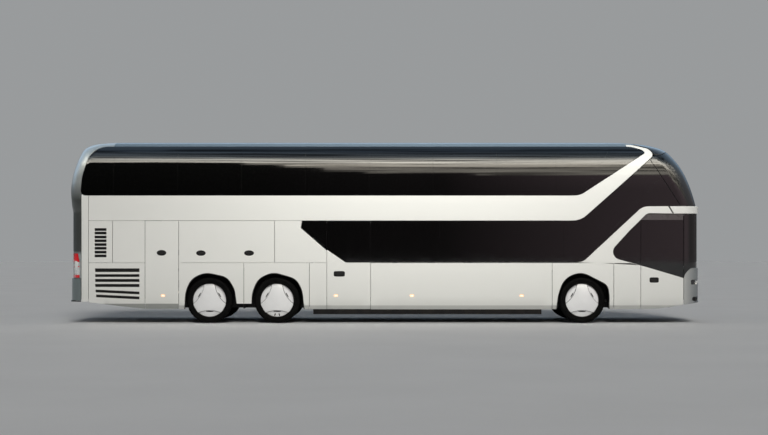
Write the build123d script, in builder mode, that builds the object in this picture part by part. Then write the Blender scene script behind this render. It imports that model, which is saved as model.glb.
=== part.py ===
from build123d import *
import os
from math import sqrt, sin, cos, radians

os.makedirs("parts", exist_ok=True)
for old in os.listdir("parts"):
    if old.endswith(".step"):
        os.remove(os.path.join("parts", old))

# Double-deck touring coach. Origin on the ground under the middle of the body,
# +X forward, +Y to the vehicle's left, +Z up. Millimetres.

# ---------------------------------------------------------------- overall
HALF_WIDTH = 1275          # outer face of the flat side walls
ROOF_Z = 4000
SKIRT_Z = 300              # lowest edge of the side panels
CREASE_Z = 420             # the skirt tucks in below this
TUCK = 40
WAIST_Z = 2245             # top of the lower side panels and of the lower glass
SILL_Z = 1325              # bottom edge of the lower side windows
WALL = 50                  # thickness of walls, doors and flaps
GLASS = 12                 # thickness of a bonded pane
GAP = 6                    # joint between neighbouring panels
SIDE_REACH = 1400          # past the side of the body

X_NOSE = 6970              # front crown above the mask
X_TAIL = -6950             # rear crown above the bumper
CROWN_FRONT, CROWN_REAR = 5000, 8000
R_FRONT, R_REAR = 350, 260

# Plan sections of the upper body.
# columns: z, half width, front x, front corner radius, rear x, rear corner radius
UPRIGHT_TOP = 2408         # the walls are upright up to here
DOME = [
    (UPRIGHT_TOP, HALF_WIDTH, X_NOSE, R_FRONT, X_TAIL, R_REAR),
    (2568, HALF_WIDTH, 6945, 360, -6975, 262),
    (2900, 1269, 6850, 390, -7000, 270),
    (3200, 1250, 6730, 420, -6965, 290),
    (3450, 1212, 6590, 450, -6895, 320),
    (3640, 1152, 6440, 470, -6825, 340),
    (3790, 1068, 6285, 470, -6755, 350),
    (3865, 994, 6125, 455, -6692, 350),
    (3950, 840, 5770, 420, -6500, 330),
    (ROOF_Z, 600, 5250, 380, -6080, 300),
]


def plan_section(z, half_width, x_front, r_front, x_rear, r_rear, inset=0):
    """One plan outline: straight sides, crowned ends, four tangent corner arcs."""
    w = half_width - inset
    ends = []
    for way, x_end, r, crown in (
        (1, x_front - inset, r_front - inset, CROWN_FRONT - inset),
        (-1, x_rear + inset, r_rear - inset, CROWN_REAR - inset),
    ):
        cx0 = x_end - way * crown
        cx = cx0 + way * sqrt((crown - r) ** 2 - (w - r) ** 2)
        ux, uy = (cx - cx0) / (crown - r), (w - r) / (crown - r)
        mx, my = ux, uy + 1
        m = sqrt(mx * mx + my * my)
        ends.append(
            (
                (cx, w),
                (cx + r * mx / m, w - r + r * my / m),
                (cx0 + crown * ux, crown * uy),
                (x_end, 0),
            )
        )
    (fa, fm, fb, ft), (ra, rm, rb, rt) = ends
    down = lambda p: (p[0], -p[1])
    with BuildSketch(Plane.XY.offset(z)) as section:
        with BuildLine():
            Line(down(ra), down(fa))
            ThreePointArc(down(fa), down(fm), down(fb))
            ThreePointArc(down(fb), ft, fb)
            ThreePointArc(fb, fm, fa)
            Line(fa, ra)
            ThreePointArc(ra, rm, rb)
            ThreePointArc(rb, rt, down(rb))
            ThreePointArc(down(rb), down(rm), down(ra))
        make_face()
    return section.sketch


def dome_rows(inset):
    """The dome's sections moved inward along the wall's own slope."""
    last = len(DOME) - 1
    for i, row in enumerate(DOME):
        if i == 0:
            nw, nz = 1.0, 0.0
        elif i == last:
            nw, nz = 0.35, 1.0
        else:
            rise = DOME[i + 1][0] - DOME[i - 1][0]
            lean = DOME[i - 1][1] - DOME[i + 1][1]
            length = sqrt(rise * rise + lean * lean)
            nw, nz = rise / length, lean / length
        yield plan_section(row[0] - inset * nz, *row[1:], inset=inset * nw)


def body_form(inset):
    """The whole body as a solid, inset from the outer surface."""
    base = (HALF_WIDTH, X_NOSE, R_FRONT, X_TAIL, R_REAR)
    tucked = plan_section(SKIRT_Z, *base, inset=inset + TUCK)
    crease = plan_section(CREASE_Z, *base, inset=inset)
    with BuildPart() as form:
        loft([tucked, crease], ruled=True)
        extrude(crease, amount=UPRIGHT_TOP - CREASE_Z)
        loft(list(dome_rows(inset)), ruled=True)
    return form.part


def side_face(rows):
    """A face in the side view, from rows of x, z, corner radius."""
    with BuildSketch(Plane.XZ) as face:
        with BuildLine():
            FilletPolyline(
                *[(x, z) for x, z, r in rows], radius=[r if r > 6 else 0 for x, z, r in rows], close=True
            )
        make_face()
    return face.sketch


def block(x0, x1, y0, y1, z0, z1):
    """A box from its six limits."""
    with BuildPart() as b:
        with Locations(((x0 + x1) / 2, (y0 + y1) / 2, (z0 + z1) / 2)):
            Box(abs(x1 - x0), abs(y1 - y0), abs(z1 - z0))
    return b.part


def rect(x0, x1, z0, z1, r=6):
    return side_face([(x0, z0, r), (x1, z0, r), (x1, z1, r), (x0, z1, r)])


# ---------------------------------------------------------------- outlines seen from the side
# columns: x, z, corner radius
UPPER_PANE = [
    (-6685, 2797, 110), (4255, 2797, 400), (5722, 3747, 30), (5640, 3818, 200),
    (5400, 3890, 500), (-6465, 3890, 700), (-6655, 3200, 900),
]
BAND_OUTER = [
    (-6502, WAIST_Z, 3), (4272, WAIST_Z, 470), (5905, 3697, 90), (5790, 3838, 160),
    (5430, 3932, 400), (-5988, 3932, 3), (-5988, 3860, 3), (-6300, 3300, 3), (-6502, 2900, 3),
]
LOWER_PANE = [   # the dark glass between the two white bands
    (-1826, 2239, 20), (-1850, 2085, 60), (-865, SILL_Z, 150), (4306, SILL_Z, 330),
    (5632, 2562, 300), (6455, 2566, 3), (5800, 3592, 3), (4280, 2239, 470),
]
PILLAR_BAND = [  # the white band that carries the windscreen band
    (4170, SILL_Z + 4, 3), (4345, 1358, 200), (5636, 2558, 300), (6453, 2558, 3), (6521, 2402, 3),
    (6521, 2000, 3), (5430, SILL_Z + 4, 3),
]
FRONT_PANE = [   # lower front side glass: a small fixed pane and the door's, or the driver's
    (4842, 1472, 172), (5590, 1268, 900), (6527, 990, 4), (6527, 2396, 4), (5735, 2406, 130), (5345, 2025, 800),
]

# ---------------------------------------------------------------- the shells of the body
skin_form = body_form(0)
pane_form = body_form(GLASS)
under_pane_form = body_form(GLASS + 2)
wall_form = body_form(WALL)
room_form = body_form(WALL + 2)

with BuildPart() as wall_shell_b:
    add(skin_form)
    add(wall_form, mode=Mode.SUBTRACT)
wall_shell = wall_shell_b.part
with BuildPart() as pane_shell_b:
    add(skin_form)
    add(pane_form, mode=Mode.SUBTRACT)
pane_shell = pane_shell_b.part
with BuildPart() as frame_shell_b:
    add(under_pane_form)
    add(wall_form, mode=Mode.SUBTRACT)
frame_shell = frame_shell_b.part
print("shells", wall_shell.volume / 1e9, pane_shell.volume / 1e9, frame_shell.volume / 1e9)

BOTH, RIGHT, LEFT = 0, 1, -1


def from_shell(shell, face, side=BOTH, cut=None):
    """What an outline seen from the side takes out of a shell."""
    with BuildPart() as piece:
        if side == BOTH:
            extrude(face, amount=SIDE_REACH, both=True)
        else:
            extrude(face, amount=SIDE_REACH * side)
        if cut is not None:
            for hole in cut:
                extrude(hole, amount=SIDE_REACH, both=True, mode=Mode.SUBTRACT)
        add(shell, mode=Mode.INTERSECT)
    return piece.part


def frame_piece(face, side):
    """A pillar between the back of the glass and the inner face of the wall."""
    with BuildPart() as piece:
        extrude(face, amount=SIDE_REACH * side)
        add(under_pane_form, mode=Mode.INTERSECT)
        add(wall_form, mode=Mode.SUBTRACT)
    return piece.part


def clipped(face, x0, x1):
    """The part of a side-view face between two stations."""
    with BuildSketch(Plane.XZ) as s:
        add(face)
        with Locations(((x0 + x1) / 2, 2000)):
            Rectangle(x1 - x0, 4000, mode=Mode.INTERSECT)
    return s.sketch


def grown(rows, by):
    with BuildSketch(Plane.XZ) as s:
        add(side_face(rows))
        offset(amount=by, kind=Kind.INTERSECTION)
    return s.sketch


def save(part, label):
    part.label = label
    export_step(part, f"parts/{label}.step")
    print(label, len(part.solids()), round(part.volume / 1e6, 1))


def gather(pieces):
    """Like pieces that don't touch, in one node."""
    with BuildPart() as node:
        for piece in pieces:
            add(piece)
    return node.part


# ---------------------------------------------------------------- wheels and axles
TYRE_R, TYRE_BORE, TYRE_W = 500, 366, 296
WHEEL_R = 365
AXLE_Z = 500
AXLE_X = {"front": 4312, "drive": -2380, "tag": -3862}
SINGLE_Y = 1092            # middle of a single tyre
TWIN_Y = (1092, 772)       # middles of the outer and inner twin tyres
KINGPIN_Y = 880
HUB_FACE_Y = 1000          # inner face of the wheel disc

# ---------------------------------------------------------------- side panels
# wheel arches seen from the side, columns: x, z, corner radius
FRONT_ARCH = [(3736, 200, 3), (3766, 593, 900), (3904, 978, 430), (4280, 1139, 405), (4876, 835, 225), (4909, 583, 430), (4897, 200, 3)]
DRIVE_ARCH = [(-2946, 200, 3), (-2929, 664, 600), (-2801, 971, 365), (-2475, 1127, 435), (-1961, 978, 325), (-1818, 729, 590), (-1769, 200, 3)]
TAG_ARCH = [(-4410, 200, 3), (-4389, 704, 650), (-4252, 982, 400), (-3951, 1119, 460), (-3460, 1013, 320), (-3303, 745, 415), (-3228, 200, 3)]
SKIRT_BETWEEN_Z = 427      # the skirt ends higher between the two rear wheels

DOOR_TOP = 2237
# doorways, columns: rear x, front x
MID_DOOR_X = (-1286, -329)
FRONT_DOOR_X = (5590, 6527)

G = GAP / 2
# columns: rear x, front x, bottom z, top z; on both sides of the body
PLAIN_PANELS = [
    (-6505 + G, -5979 - G, SILL_Z, WAIST_Z - G),  # upper louvre panel
    (-5979 + G, -5268 - G, SILL_Z, WAIST_Z - G),
    (-1669 + G, -1286 - G, 306, SILL_Z - GAP),
    (-329 + G, 3649 - G, SKIRT_Z, SILL_Z - GAP),
]
ARCH_PANELS = [  # columns: rear x, front x, arch
    (-4531 + G, -3104 - G, TAG_ARCH),
    (-3104 + G, -1669 - G, DRIVE_ARCH),
    (3649 + G, 4999 - G, FRONT_ARCH),
]
UPPER_LOUVRES = [(-6372, -6112, z) for z in (2050, 1973, 1886, 1804, 1721, 1640, 1555, 1473)]
LOWER_LOUVRES = [(-6361, -5390, z) for z in (1160, 1038, 935, 820, 690, 580)]
LOUVRE_H = 44

slant_panel = side_face([
    (-2430 + G, SILL_Z, 4), (-1286 - G, SILL_Z, 4), (-1286 - G, 1592, 4), (-1858, 2082, 40), (-1834, WAIST_Z - G, 4),
    (-2430 + G, WAIST_Z - G, 4)])
slant_panel_plain = side_face([
    (-2430 + G, SILL_Z, 4), (-875, SILL_Z, 30), (-1858, 2082, 40), (-1834, WAIST_Z - G, 4), (-2430 + G, WAIST_Z - G, 4)])
# rear corner strip, up to the rounded corner of the upper glass
rear_strip = side_face([(-6664 + G, 470, 4), (-6505 - G, 470, 4), (-6505 - G, 2860, 4), (-6641, 2860, 4), (-6664 + G, 2801, 4)])
upper_pane_hole = grown(UPPER_PANE, 4)
foot_panel = rect(4999 + G, 5590 - G, SKIRT_Z, SILL_Z - GAP, 4)   # between the front arch and the front door
front_pane_hole = grown(FRONT_PANE, 4)

side_pieces = {RIGHT: [], LEFT: []}
for x0, x1, z0, z1 in PLAIN_PANELS:
    for side in (RIGHT, LEFT):
        if (x0, x1) == (-6505 + G, -5979 - G):
            holes = [rect(a, b, z - LOUVRE_H / 2, z + LOUVRE_H / 2, 3) for a, b, z in UPPER_LOUVRES]
        else:
            holes = None
        side_pieces[side].append(from_shell(wall_shell, rect(x0, x1, z0, z1), side, holes))
step_hole = rect(-3350, -2860, 200, SKIRT_BETWEEN_Z, 3)
for x0, x1, arch in ARCH_PANELS:
    holes = [side_face(arch)] if x0 > 0 else [side_face(arch), step_hole]
    for side in (RIGHT, LEFT):
        side_pieces[side].append(from_shell(wall_shell, rect(x0, x1, 306, SILL_Z - GAP), side, holes))
side_pieces[RIGHT].append(from_shell(wall_shell, slant_panel, RIGHT))
side_pieces[LEFT].append(from_shell(wall_shell, slant_panel_plain, LEFT))
for side in (RIGHT, LEFT):
    side_pieces[side].append(from_shell(wall_shell, foot_panel, side, [front_pane_hole]))
    side_pieces[side].append(from_shell(wall_shell, rear_strip, side, [upper_pane_hole]))
# the left side has no doors: a plain panel under the glass, and one under the driver's window
side_pieces[LEFT].append(from_shell(wall_shell, rect(-1286 + G, -329 - G, 306, SILL_Z - GAP), LEFT))
DRIVER_PANEL = [(5590 + G, 306, 4), (5975, 320, 4), (6270, 360, 4), (6527, 405, 4), (6527, 1200, 4), (5590 + G, 1400, 4)]
side_pieces[LEFT].append(from_shell(wall_shell, side_face(DRIVER_PANEL), LEFT, [front_pane_hole]))
save(gather(side_pieces[RIGHT]), "side_panels_right")
save(gather(side_pieces[LEFT]), "side_panels_left")

# ---------------------------------------------------------------- upper white band, roof, rear cap
save(from_shell(wall_shell, side_face(BAND_OUTER), BOTH, [upper_pane_hole]), "upper_side_band")

ROOF_FACE = [(-5990, 3940, 3), (5432, 3940, 300), (5500, 3930, 3), (5500, 4100, 3), (-5990, 4100, 3)]
with BuildPart() as roof:
    extrude(side_face(ROOF_FACE), amount=SIDE_REACH, both=True)
    add(wall_shell, mode=Mode.INTERSECT)
save(roof.part, "roof")

FRONT_CAP = [(5506, 3937, 3), (5800, 3846, 120), (5912, 3706, 60), (6060, 3702, 3), (6222, 3778, 3), (6500, 3900, 3), (6500, 4100, 3), (5506, 4100, 3)]
save(from_shell(wall_shell, side_face(FRONT_CAP)), "front_roof_cap")

LAMP_Y = 1040
TAIL_LAMP = [(-7100, 990, 3), (-6703, 990, 14), (-6703, 1350, 40), (-6740, 1530, 30), (-7100, 1530, 3)]
REAR_CAP = [(-7100, 984, 3), (-6670, 984, 3), (-6670, 2794, 3), (-6600, 3000, 3), (-6300, 3700, 3), (-5996, 3860, 3), (-5996, 4100, 3), (-7100, 4100, 3)]
REAR_WINDOW_Y, REAR_WINDOW_Z = 900, (2860, 3480)
ENGINE_LID_Y, ENGINE_LID_Z = 930, (990, 2140)
with BuildPart() as rear_cap:
    extrude(side_face(REAR_CAP), amount=SIDE_REACH, both=True)
    extrude(upper_pane_hole, amount=SIDE_REACH, both=True, mode=Mode.SUBTRACT)
    add(wall_shell, mode=Mode.INTERSECT)
    with BuildSketch(Plane.YZ.offset(-7200)):
        with Locations((0, sum(REAR_WINDOW_Z) / 2)):
            RectangleRounded(2 * REAR_WINDOW_Y, REAR_WINDOW_Z[1] - REAR_WINDOW_Z[0], 90)
        with Locations((0, sum(ENGINE_LID_Z) / 2 - 40)):
            Rectangle(2 * ENGINE_LID_Y, ENGINE_LID_Z[1] - ENGINE_LID_Z[0] + 80)
    extrude(amount=600, mode=Mode.SUBTRACT)
    for way in (1, -1):
        with BuildSketch(Plane.XZ.offset(way * LAMP_Y)):
            add(side_face(TAIL_LAMP))
            offset(amount=4)
        extrude(amount=way * 300, mode=Mode.SUBTRACT)
save(rear_cap.part, "rear_cap")

lamps = []
for way in (1, -1):
    with BuildPart() as lamp:
        with BuildSketch(Plane.XZ.offset(way * (LAMP_Y + 4))):
            add(side_face(TAIL_LAMP))
        extrude(amount=way * 300)
        add(wall_shell, mode=Mode.INTERSECT)
    lamps.append(lamp.part)
save(gather(lamps), "tail_lamps")

with BuildPart() as rear_window:
    with BuildSketch(Plane.YZ.offset(-7200)):
        with Locations((0, sum(REAR_WINDOW_Z) / 2)):
            RectangleRounded(2 * REAR_WINDOW_Y - 8, REAR_WINDOW_Z[1] - REAR_WINDOW_Z[0] - 8, 86)
    extrude(amount=600)
    add(pane_shell, mode=Mode.INTERSECT)

with BuildPart() as engine_lid:
    with BuildSketch(Plane.YZ.offset(-7200)):
        with Locations((0, sum(ENGINE_LID_Z) / 2)):
            Rectangle(2 * ENGINE_LID_Y - 16, ENGINE_LID_Z[1] - ENGINE_LID_Z[0] - 12)
    extrude(amount=600)
    add(wall_shell, mode=Mode.INTERSECT)
save(engine_lid.part, "engine_lid")

# bumper: a deeper section than the body above it
BUMPER_Z = (470, 978)
base_row = (HALF_WIDTH, X_NOSE, R_FRONT, -6980, R_REAR)
bumper_out = plan_section(BUMPER_Z[0], *base_row)
bumper_in = plan_section(BUMPER_Z[0], *base_row, inset=WALL)
lip_out = plan_section(BUMPER_Z[0], HALF_WIDTH, X_NOSE, R_FRONT, -7000, R_REAR)
with BuildPart() as rear_bumper:
    extrude(bumper_out, amount=BUMPER_Z[1] - BUMPER_Z[0])
    extrude(lip_out, amount=26)
    extrude(bumper_in, amount=BUMPER_Z[1] - BUMPER_Z[0], mode=Mode.SUBTRACT)
    with BuildSketch(Plane.XZ):
        with Locations((-6970, 724)):
            Rectangle(600, 600)
    extrude(amount=SIDE_REACH, both=True, mode=Mode.INTERSECT)
bumper_part = rear_bumper.part
# towing sockets: a boss with a threaded hole, in the bumper and in the front mask
TOW_Y, TOW_Z, TOW_R, TOW_BOSS_R, TOW_LENGTH = 450, 560, 17, 36, 95
FRONT_TOW_X, REAR_TOW_X = 6985, -6985
with BuildPart() as bumper_socket:
    add(bumper_part)
    with Locations(Location((REAR_TOW_X + TOW_LENGTH / 2, -TOW_Y, TOW_Z), (0, 90, 0))):
        Cylinder(TOW_BOSS_R, TOW_LENGTH)
        Cylinder(TOW_R, TOW_LENGTH + 60, mode=Mode.SUBTRACT)
save(bumper_socket.part, "rear_bumper")

# ---------------------------------------------------------------- glass
save(gather([from_shell(pane_shell, side_face(UPPER_PANE)), rear_window.part]), "upper_windows")

door_zone = rect(MID_DOOR_X[0] - 1, MID_DOOR_X[1] + 1, SILL_Z - 40, WAIST_Z + 40, 1)
with BuildPart() as lower_windows_b:
    extrude(grown(LOWER_PANE, -3), amount=SIDE_REACH, both=True)
    extrude(door_zone, amount=SIDE_REACH, mode=Mode.SUBTRACT)
    extrude(side_face(BAND_OUTER), amount=SIDE_REACH, both=True, mode=Mode.SUBTRACT)
    extrude(grown(PILLAR_BAND, 3), amount=SIDE_REACH, both=True, mode=Mode.SUBTRACT)
    add(pane_shell, mode=Mode.INTERSECT)

UPPER_SCREEN = [(5918, 3698, 3), (5812, 3592, 3), (6464, 2572, 3), (7200, 2572, 3), (7200, 3900, 3), (6500, 3892, 3), (6224, 3770, 3), (6062, 3694, 3)]
save(from_shell(pane_shell, side_face(UPPER_SCREEN)), "upper_windscreen")
SCREEN_EDGE = 6527 + GAP
LOWER_SCREEN = [(SCREEN_EDGE, 1002, 3), (6552, 1075, 3), (6608, 1143, 3), (6685, 1202, 3), (6745, 1217, 3), (7200, 1216, 3), (7200, 2396, 3), (SCREEN_EDGE, 2396, 3)]
save(from_shell(pane_shell, side_face(LOWER_SCREEN)), "lower_windscreen")
quarter = clipped(grown(FRONT_PANE, -2), 4000, 5590 - G)
driver_window = clipped(grown(FRONT_PANE, -2), 5590 + G, 6527)
save(
    gather([lower_windows_b.part, from_shell(pane_shell, quarter), from_shell(pane_shell, driver_window, LEFT)]),
    "lower_windows",
)

# ---------------------------------------------------------------- white pillar band and the windscreen band
save(from_shell(wall_shell, side_face(PILLAR_BAND), BOTH, [grown(FRONT_PANE, 4)]), "pillar_band")

BAND_Z = (2402, 2564)
BAND_PROUD = 30
band_out = plan_section(BAND_Z[0], HALF_WIDTH + 0, X_NOSE + BAND_PROUD, 380, X_TAIL, R_REAR)
band_in = plan_section(BAND_Z[0], HALF_WIDTH, X_NOSE + BAND_PROUD, 380, X_TAIL, R_REAR, inset=75)
BAND_SIDE = [(6535, BAND_Z[0] + 4, 3), (7200, BAND_Z[0], 3), (7200, BAND_Z[1], 3), (6462, BAND_Z[1] - 2, 3)]
with BuildPart() as windscreen_band:
    extrude(band_out, amount=BAND_Z[1] - BAND_Z[0])
    extrude(band_in, amount=BAND_Z[1] - BAND_Z[0], mode=Mode.SUBTRACT)
    extrude(side_face(BAND_SIDE), amount=SIDE_REACH, both=True, mode=Mode.INTERSECT)
save(windscreen_band.part, "windscreen_band")

# ---------------------------------------------------------------- front mask
MASK = [(SCREEN_EDGE, 407, 3), (6795, 440, 3), (7200, 460, 3), (7200, 1206, 3), (6745, 1208, 3), (6688, 1190, 3), (6612, 1132, 3), (6556, 1064, 3), (SCREEN_EDGE, 990, 3)]
mask_row = (HALF_WIDTH, 7000, R_FRONT + 20, X_TAIL, R_REAR)
with BuildPart() as front_mask:
    extrude(plan_section(SKIRT_Z, *mask_row), amount=1000)
    extrude(plan_section(SKIRT_Z, *mask_row, inset=WALL + 20), amount=1000, mode=Mode.SUBTRACT)
    extrude(side_face(MASK), amount=SIDE_REACH, both=True, mode=Mode.INTERSECT)
mask_part = front_mask.part
HEADLAMP = [(620, 872, 14), (1240, 842, 14), (1240, 952, 20), (1000, 948, 60), (620, 925, 14)]   # columns: y, z, radius
LAMP_SINK = 14
headlamps = []
with BuildPart() as mask_cut:
    add(mask_part)
    for way in (1, -1):
        with BuildSketch(Plane.YZ.offset(6600)):
            with BuildLine():
                FilletPolyline(*[(way * y, z) for y, z, r in HEADLAMP], radius=[r for y, z, r in HEADLAMP], close=True)
            make_face()
        extrude(amount=600, mode=Mode.SUBTRACT)
    with Locations(Location((FRONT_TOW_X - TOW_LENGTH / 2, -TOW_Y, TOW_Z), (0, 90, 0))):
        Cylinder(TOW_BOSS_R, TOW_LENGTH)
        Cylinder(TOW_R, TOW_LENGTH + 60, mode=Mode.SUBTRACT)
save(mask_cut.part, "front_mask")
with BuildPart() as lamp_shell:
    extrude(plan_section(SKIRT_Z, *mask_row, inset=LAMP_SINK), amount=1000)
    extrude(plan_section(SKIRT_Z, *mask_row, inset=WALL + 20), amount=1000, mode=Mode.SUBTRACT)
for way in (1, -1):
    with BuildPart() as lamp:
        with BuildSketch(Plane.YZ.offset(6600)):
            with BuildLine():
                FilletPolyline(*[(way * y, z) for y, z, r in HEADLAMP], radius=[r for y, z, r in HEADLAMP], close=True)
            make_face()
        extrude(amount=600)
        add(lamp_shell.part, mode=Mode.INTERSECT)
    headlamps.append(lamp.part)
save(gather(headlamps), "headlamps")

# ---------------------------------------------------------------- doors
front_leaf = side_face([   # the painted part, below the glass
    (5590 + G, 306, 4), (5975, 320, 4), (6270, 360, 4), (6527 - G, 405, 4), (6527 - G, 1100, 4), (5590 + G, 1400, 4)])
front_door_pane = clipped(grown(FRONT_PANE, -2), 5590 + G, 6527 - G)
mid_leaf = side_face([
    (-1286 + G, 306, 4), (-329 - G, 306, 4), (-329 - G, 1500, 4), (-1286 + G, 1800, 4)])
mid_door_pane = side_face([
    (-1286 + G, 1612, 4), (-870, SILL_Z + 4, 90), (-329 - G, SILL_Z + 4, 4), (-329 - G, DOOR_TOP, 12),
    (-1286 + G, DOOR_TOP, 12)])
FRAME = 62                 # width of the frame behind a door's glass
DOORS = [                  # columns: name, leaf, pane, x of the turning post, heights of the two arms
    ("front_door", front_leaf, front_door_pane, 6455, (820, 2358)),
    ("mid_door", mid_leaf, mid_door_pane, -398, (820, 2200)),
]
POST_Y, LEAF_PIN_Y = -1130, -1085
ARM_REACH = 500
ARM_H, ARM_W = 40, 34
PIN_R = 16
POST_FOOT = 506
for name, leaf, pane, post_x, arm_z in DOORS:
    shell_part = from_shell(wall_shell, leaf, RIGHT, [pane])
    with BuildSketch(Plane.XZ) as daylight:
        add(pane)
        offset(amount=-FRAME)
    ring = from_shell(frame_shell, pane, RIGHT, [daylight.sketch])
    pin_x = post_x - ARM_REACH
    with BuildPart() as leaf_part:
        add(shell_part)
        add(ring)
        # brackets that reach in to the arm pins
        for z in arm_z:
            for dz in (-ARM_H / 2 - 14, ARM_H / 2 + 2):
                with Locations((pin_x, (LEAF_PIN_Y - 1227) / 2 - 6, z + dz + 6)):
                    Box(50, 1227 + LEAF_PIN_Y + 36, 12)
            with Locations((pin_x, LEAF_PIN_Y, z)):
                Cylinder(PIN_R - 6, ARM_H + 24)
    save(leaf_part.part, name)
    save(from_shell(pane_shell, pane, RIGHT), f"{name}_glass")
    with BuildPart() as arms:
        with Locations((post_x, POST_Y, (POST_FOOT + arm_z[1] + ARM_H / 2) / 2)):
            Cylinder(PIN_R + 4, arm_z[1] + ARM_H / 2 - POST_FOOT)
        for z in arm_z:
            with BuildSketch(Plane.XY.offset(z - ARM_H / 2)):
                with BuildLine():
                    elbow = (post_x - 150, POST_Y + 165)
                    Polyline((post_x, POST_Y), elbow, (pin_x, LEAF_PIN_Y))
                    offset(amount=ARM_W / 2)
                make_face()
            extrude(amount=ARM_H)
            with Locations((pin_x, LEAF_PIN_Y, z)):
                Cylinder(PIN_R - 5.5, ARM_H + 2, mode=Mode.SUBTRACT)
    save(arms.part, f"{name}_arms")

# ---------------------------------------------------------------- flaps, hinged at their top edge
FLAP_TOP = WAIST_Z - 5
engine_flap_face = side_face([
    (-6505 + G, 458, 4), (-6180, 420, 4), (-5760, 366, 4), (-5268 - G, 312, 4), (-5268 - G, SILL_Z - GAP, 4),
    (-6505 + G, SILL_Z - GAP, 4)])
louvre_holes = [rect(a, b, z - LOUVRE_H / 2, z + LOUVRE_H / 2, 3) for a, b, z in LOWER_LOUVRES]
FLAPS = [   # columns: name, outline, holes
    ("luggage_flap", rect(-4531 + G, -2430 - G, SILL_Z, FLAP_TOP, 4), []),
    ("service_flap", rect(-5268 + G, -4531 - G, 312, FLAP_TOP, 4), []),
    ("engine_flap", engine_flap_face, louvre_holes),
]
for name, face, holes in FLAPS:
    for side, word in ((RIGHT, "right"), (LEFT, "left")):
        save(from_shell(wall_shell, face, side, holes), f"{name}_{word}")

# ---------------------------------------------------------------- what stands behind the glass
UPPER_PILLARS = (-5960, -4560, -3160, -1760, -360, 1040, 2440, 3740)
LOWER_PILLARS = (-250, 1180, 2560, 3900)
PILLAR_W = 70
pillar_pieces = []
for x in UPPER_PILLARS:
    for side in (RIGHT, LEFT):
        pillar_pieces.append(frame_piece(rect(x - PILLAR_W / 2, x + PILLAR_W / 2, 2802, 3880, 3), side))
for x in LOWER_PILLARS:
    for side in (RIGHT, LEFT):
        pillar_pieces.append(frame_piece(rect(x - PILLAR_W / 2, x + PILLAR_W / 2, SILL_Z + 8, 2236, 3), side))
leaning = side_face([(4260, 1420, 3), (4340, 1420, 3), (5140, 2236, 3), (5060, 2236, 3)])
for side in (RIGHT, LEFT):
    pillar_pieces.append(frame_piece(leaning, side))
save(gather(pillar_pieces), "window_pillars")

# ---------------------------------------------------------------- floors and partitions
SALOON_X = (-1685, 6480)
FLOOR_Z = (440, 500)
ROOM_Y = 1222
DECK_Z = (2290, 2340)
FRONT_DECK_X, FRONT_DECK_Z = 5450, (2420, 2470)
HOUSE_TOP = 1130
FRONT_HOUSE_X, FRONT_HOUSE_Y = (3665, 4962), 520
REAR_HOUSE_X, REAR_HOUSE_Y = (-4500, -1745), 590
PLATE = 20

SEAM = 0.5                 # joint between neighbouring boards and beams
# columns: rear x, front x, half width; the middle board runs between the front wheelhouses
FLOOR_BOARDS = [
    (SALOON_X[0], FRONT_HOUSE_X[0] - SEAM, ROOM_Y),
    (FRONT_HOUSE_X[0], FRONT_HOUSE_X[1], FRONT_HOUSE_Y),
    (FRONT_HOUSE_X[1] + SEAM, SALOON_X[1], ROOM_Y),
]
with BuildPart() as lower_floor:
    for x0, x1, half in FLOOR_BOARDS:
        with Locations(((x0 + x1) / 2, 0, sum(FLOOR_Z) / 2)):
            Box(x1 - x0, 2 * half, FLOOR_Z[1] - FLOOR_Z[0])
    add(room_form, mode=Mode.INTERSECT)
save(lower_floor.part, "lower_floor")

with BuildPart() as wheelhouses:
    for (x0, x1), y_in in ((FRONT_HOUSE_X, FRONT_HOUSE_Y), (REAR_HOUSE_X, REAR_HOUSE_Y)):
        for way in (1, -1):
            mid_y, wide = way * (y_in + ROOM_Y) / 2, ROOM_Y - y_in
            low = FLOOR_Z[1] + 0.5 if x0 > 0 else 720
            with Locations(((x0 + x1) / 2, mid_y, HOUSE_TOP - PLATE / 2)):
                Box(x1 - x0, wide, PLATE)
            with Locations(((x0 + x1) / 2, way * (y_in + PLATE / 2), (low + HOUSE_TOP - PLATE) / 2)):
                Box(x1 - x0, PLATE, HOUSE_TOP - PLATE - low)
            for x in (x0 + PLATE / 2, x1 - PLATE / 2):
                with Locations((x, mid_y, (low + HOUSE_TOP - PLATE) / 2)):
                    Box(PLATE, wide, HOUSE_TOP - PLATE - low)
save(wheelhouses.part, "wheelhouses")

with BuildPart() as front_room_b:
    extrude(plan_section(420, HALF_WIDTH, X_NOSE, R_FRONT + 40, X_TAIL, R_REAR, inset=110), amount=2200)
front_room = front_room_b.part

STAIR_X, STAIR_Y = (-1560, -640), (350, 1190)       # rear stairs, left side
with BuildPart() as upper_floor:
    with Locations(((FRONT_DECK_X - 6860) / 2, 0, sum(DECK_Z) / 2)):
        Box(FRONT_DECK_X + 6860, 2 * ROOM_Y, DECK_Z[1] - DECK_Z[0])
    with Locations((FRONT_DECK_X - 25, 0, (DECK_Z[0] + FRONT_DECK_Z[1]) / 2)):
        Box(50, 2 * ROOM_Y, FRONT_DECK_Z[1] - DECK_Z[0])
    with Locations(((STAIR_X[0] + STAIR_X[1]) / 2, (STAIR_Y[0] + STAIR_Y[1]) / 2, DECK_Z[0])):
        Box(STAIR_X[1] - STAIR_X[0], STAIR_Y[1] - STAIR_Y[0], 300, mode=Mode.SUBTRACT)
    add(room_form, mode=Mode.INTERSECT)
with BuildPart() as front_deck:
    with Locations(((FRONT_DECK_X + 6900) / 2, 0, sum(FRONT_DECK_Z) / 2)):
        Box(6900 - FRONT_DECK_X, 2 * (ROOM_Y - 60), FRONT_DECK_Z[1] - FRONT_DECK_Z[0])
    add(front_room, mode=Mode.INTERSECT)
    add(upper_floor.part)
save(front_deck.part, "upper_floor")

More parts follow.
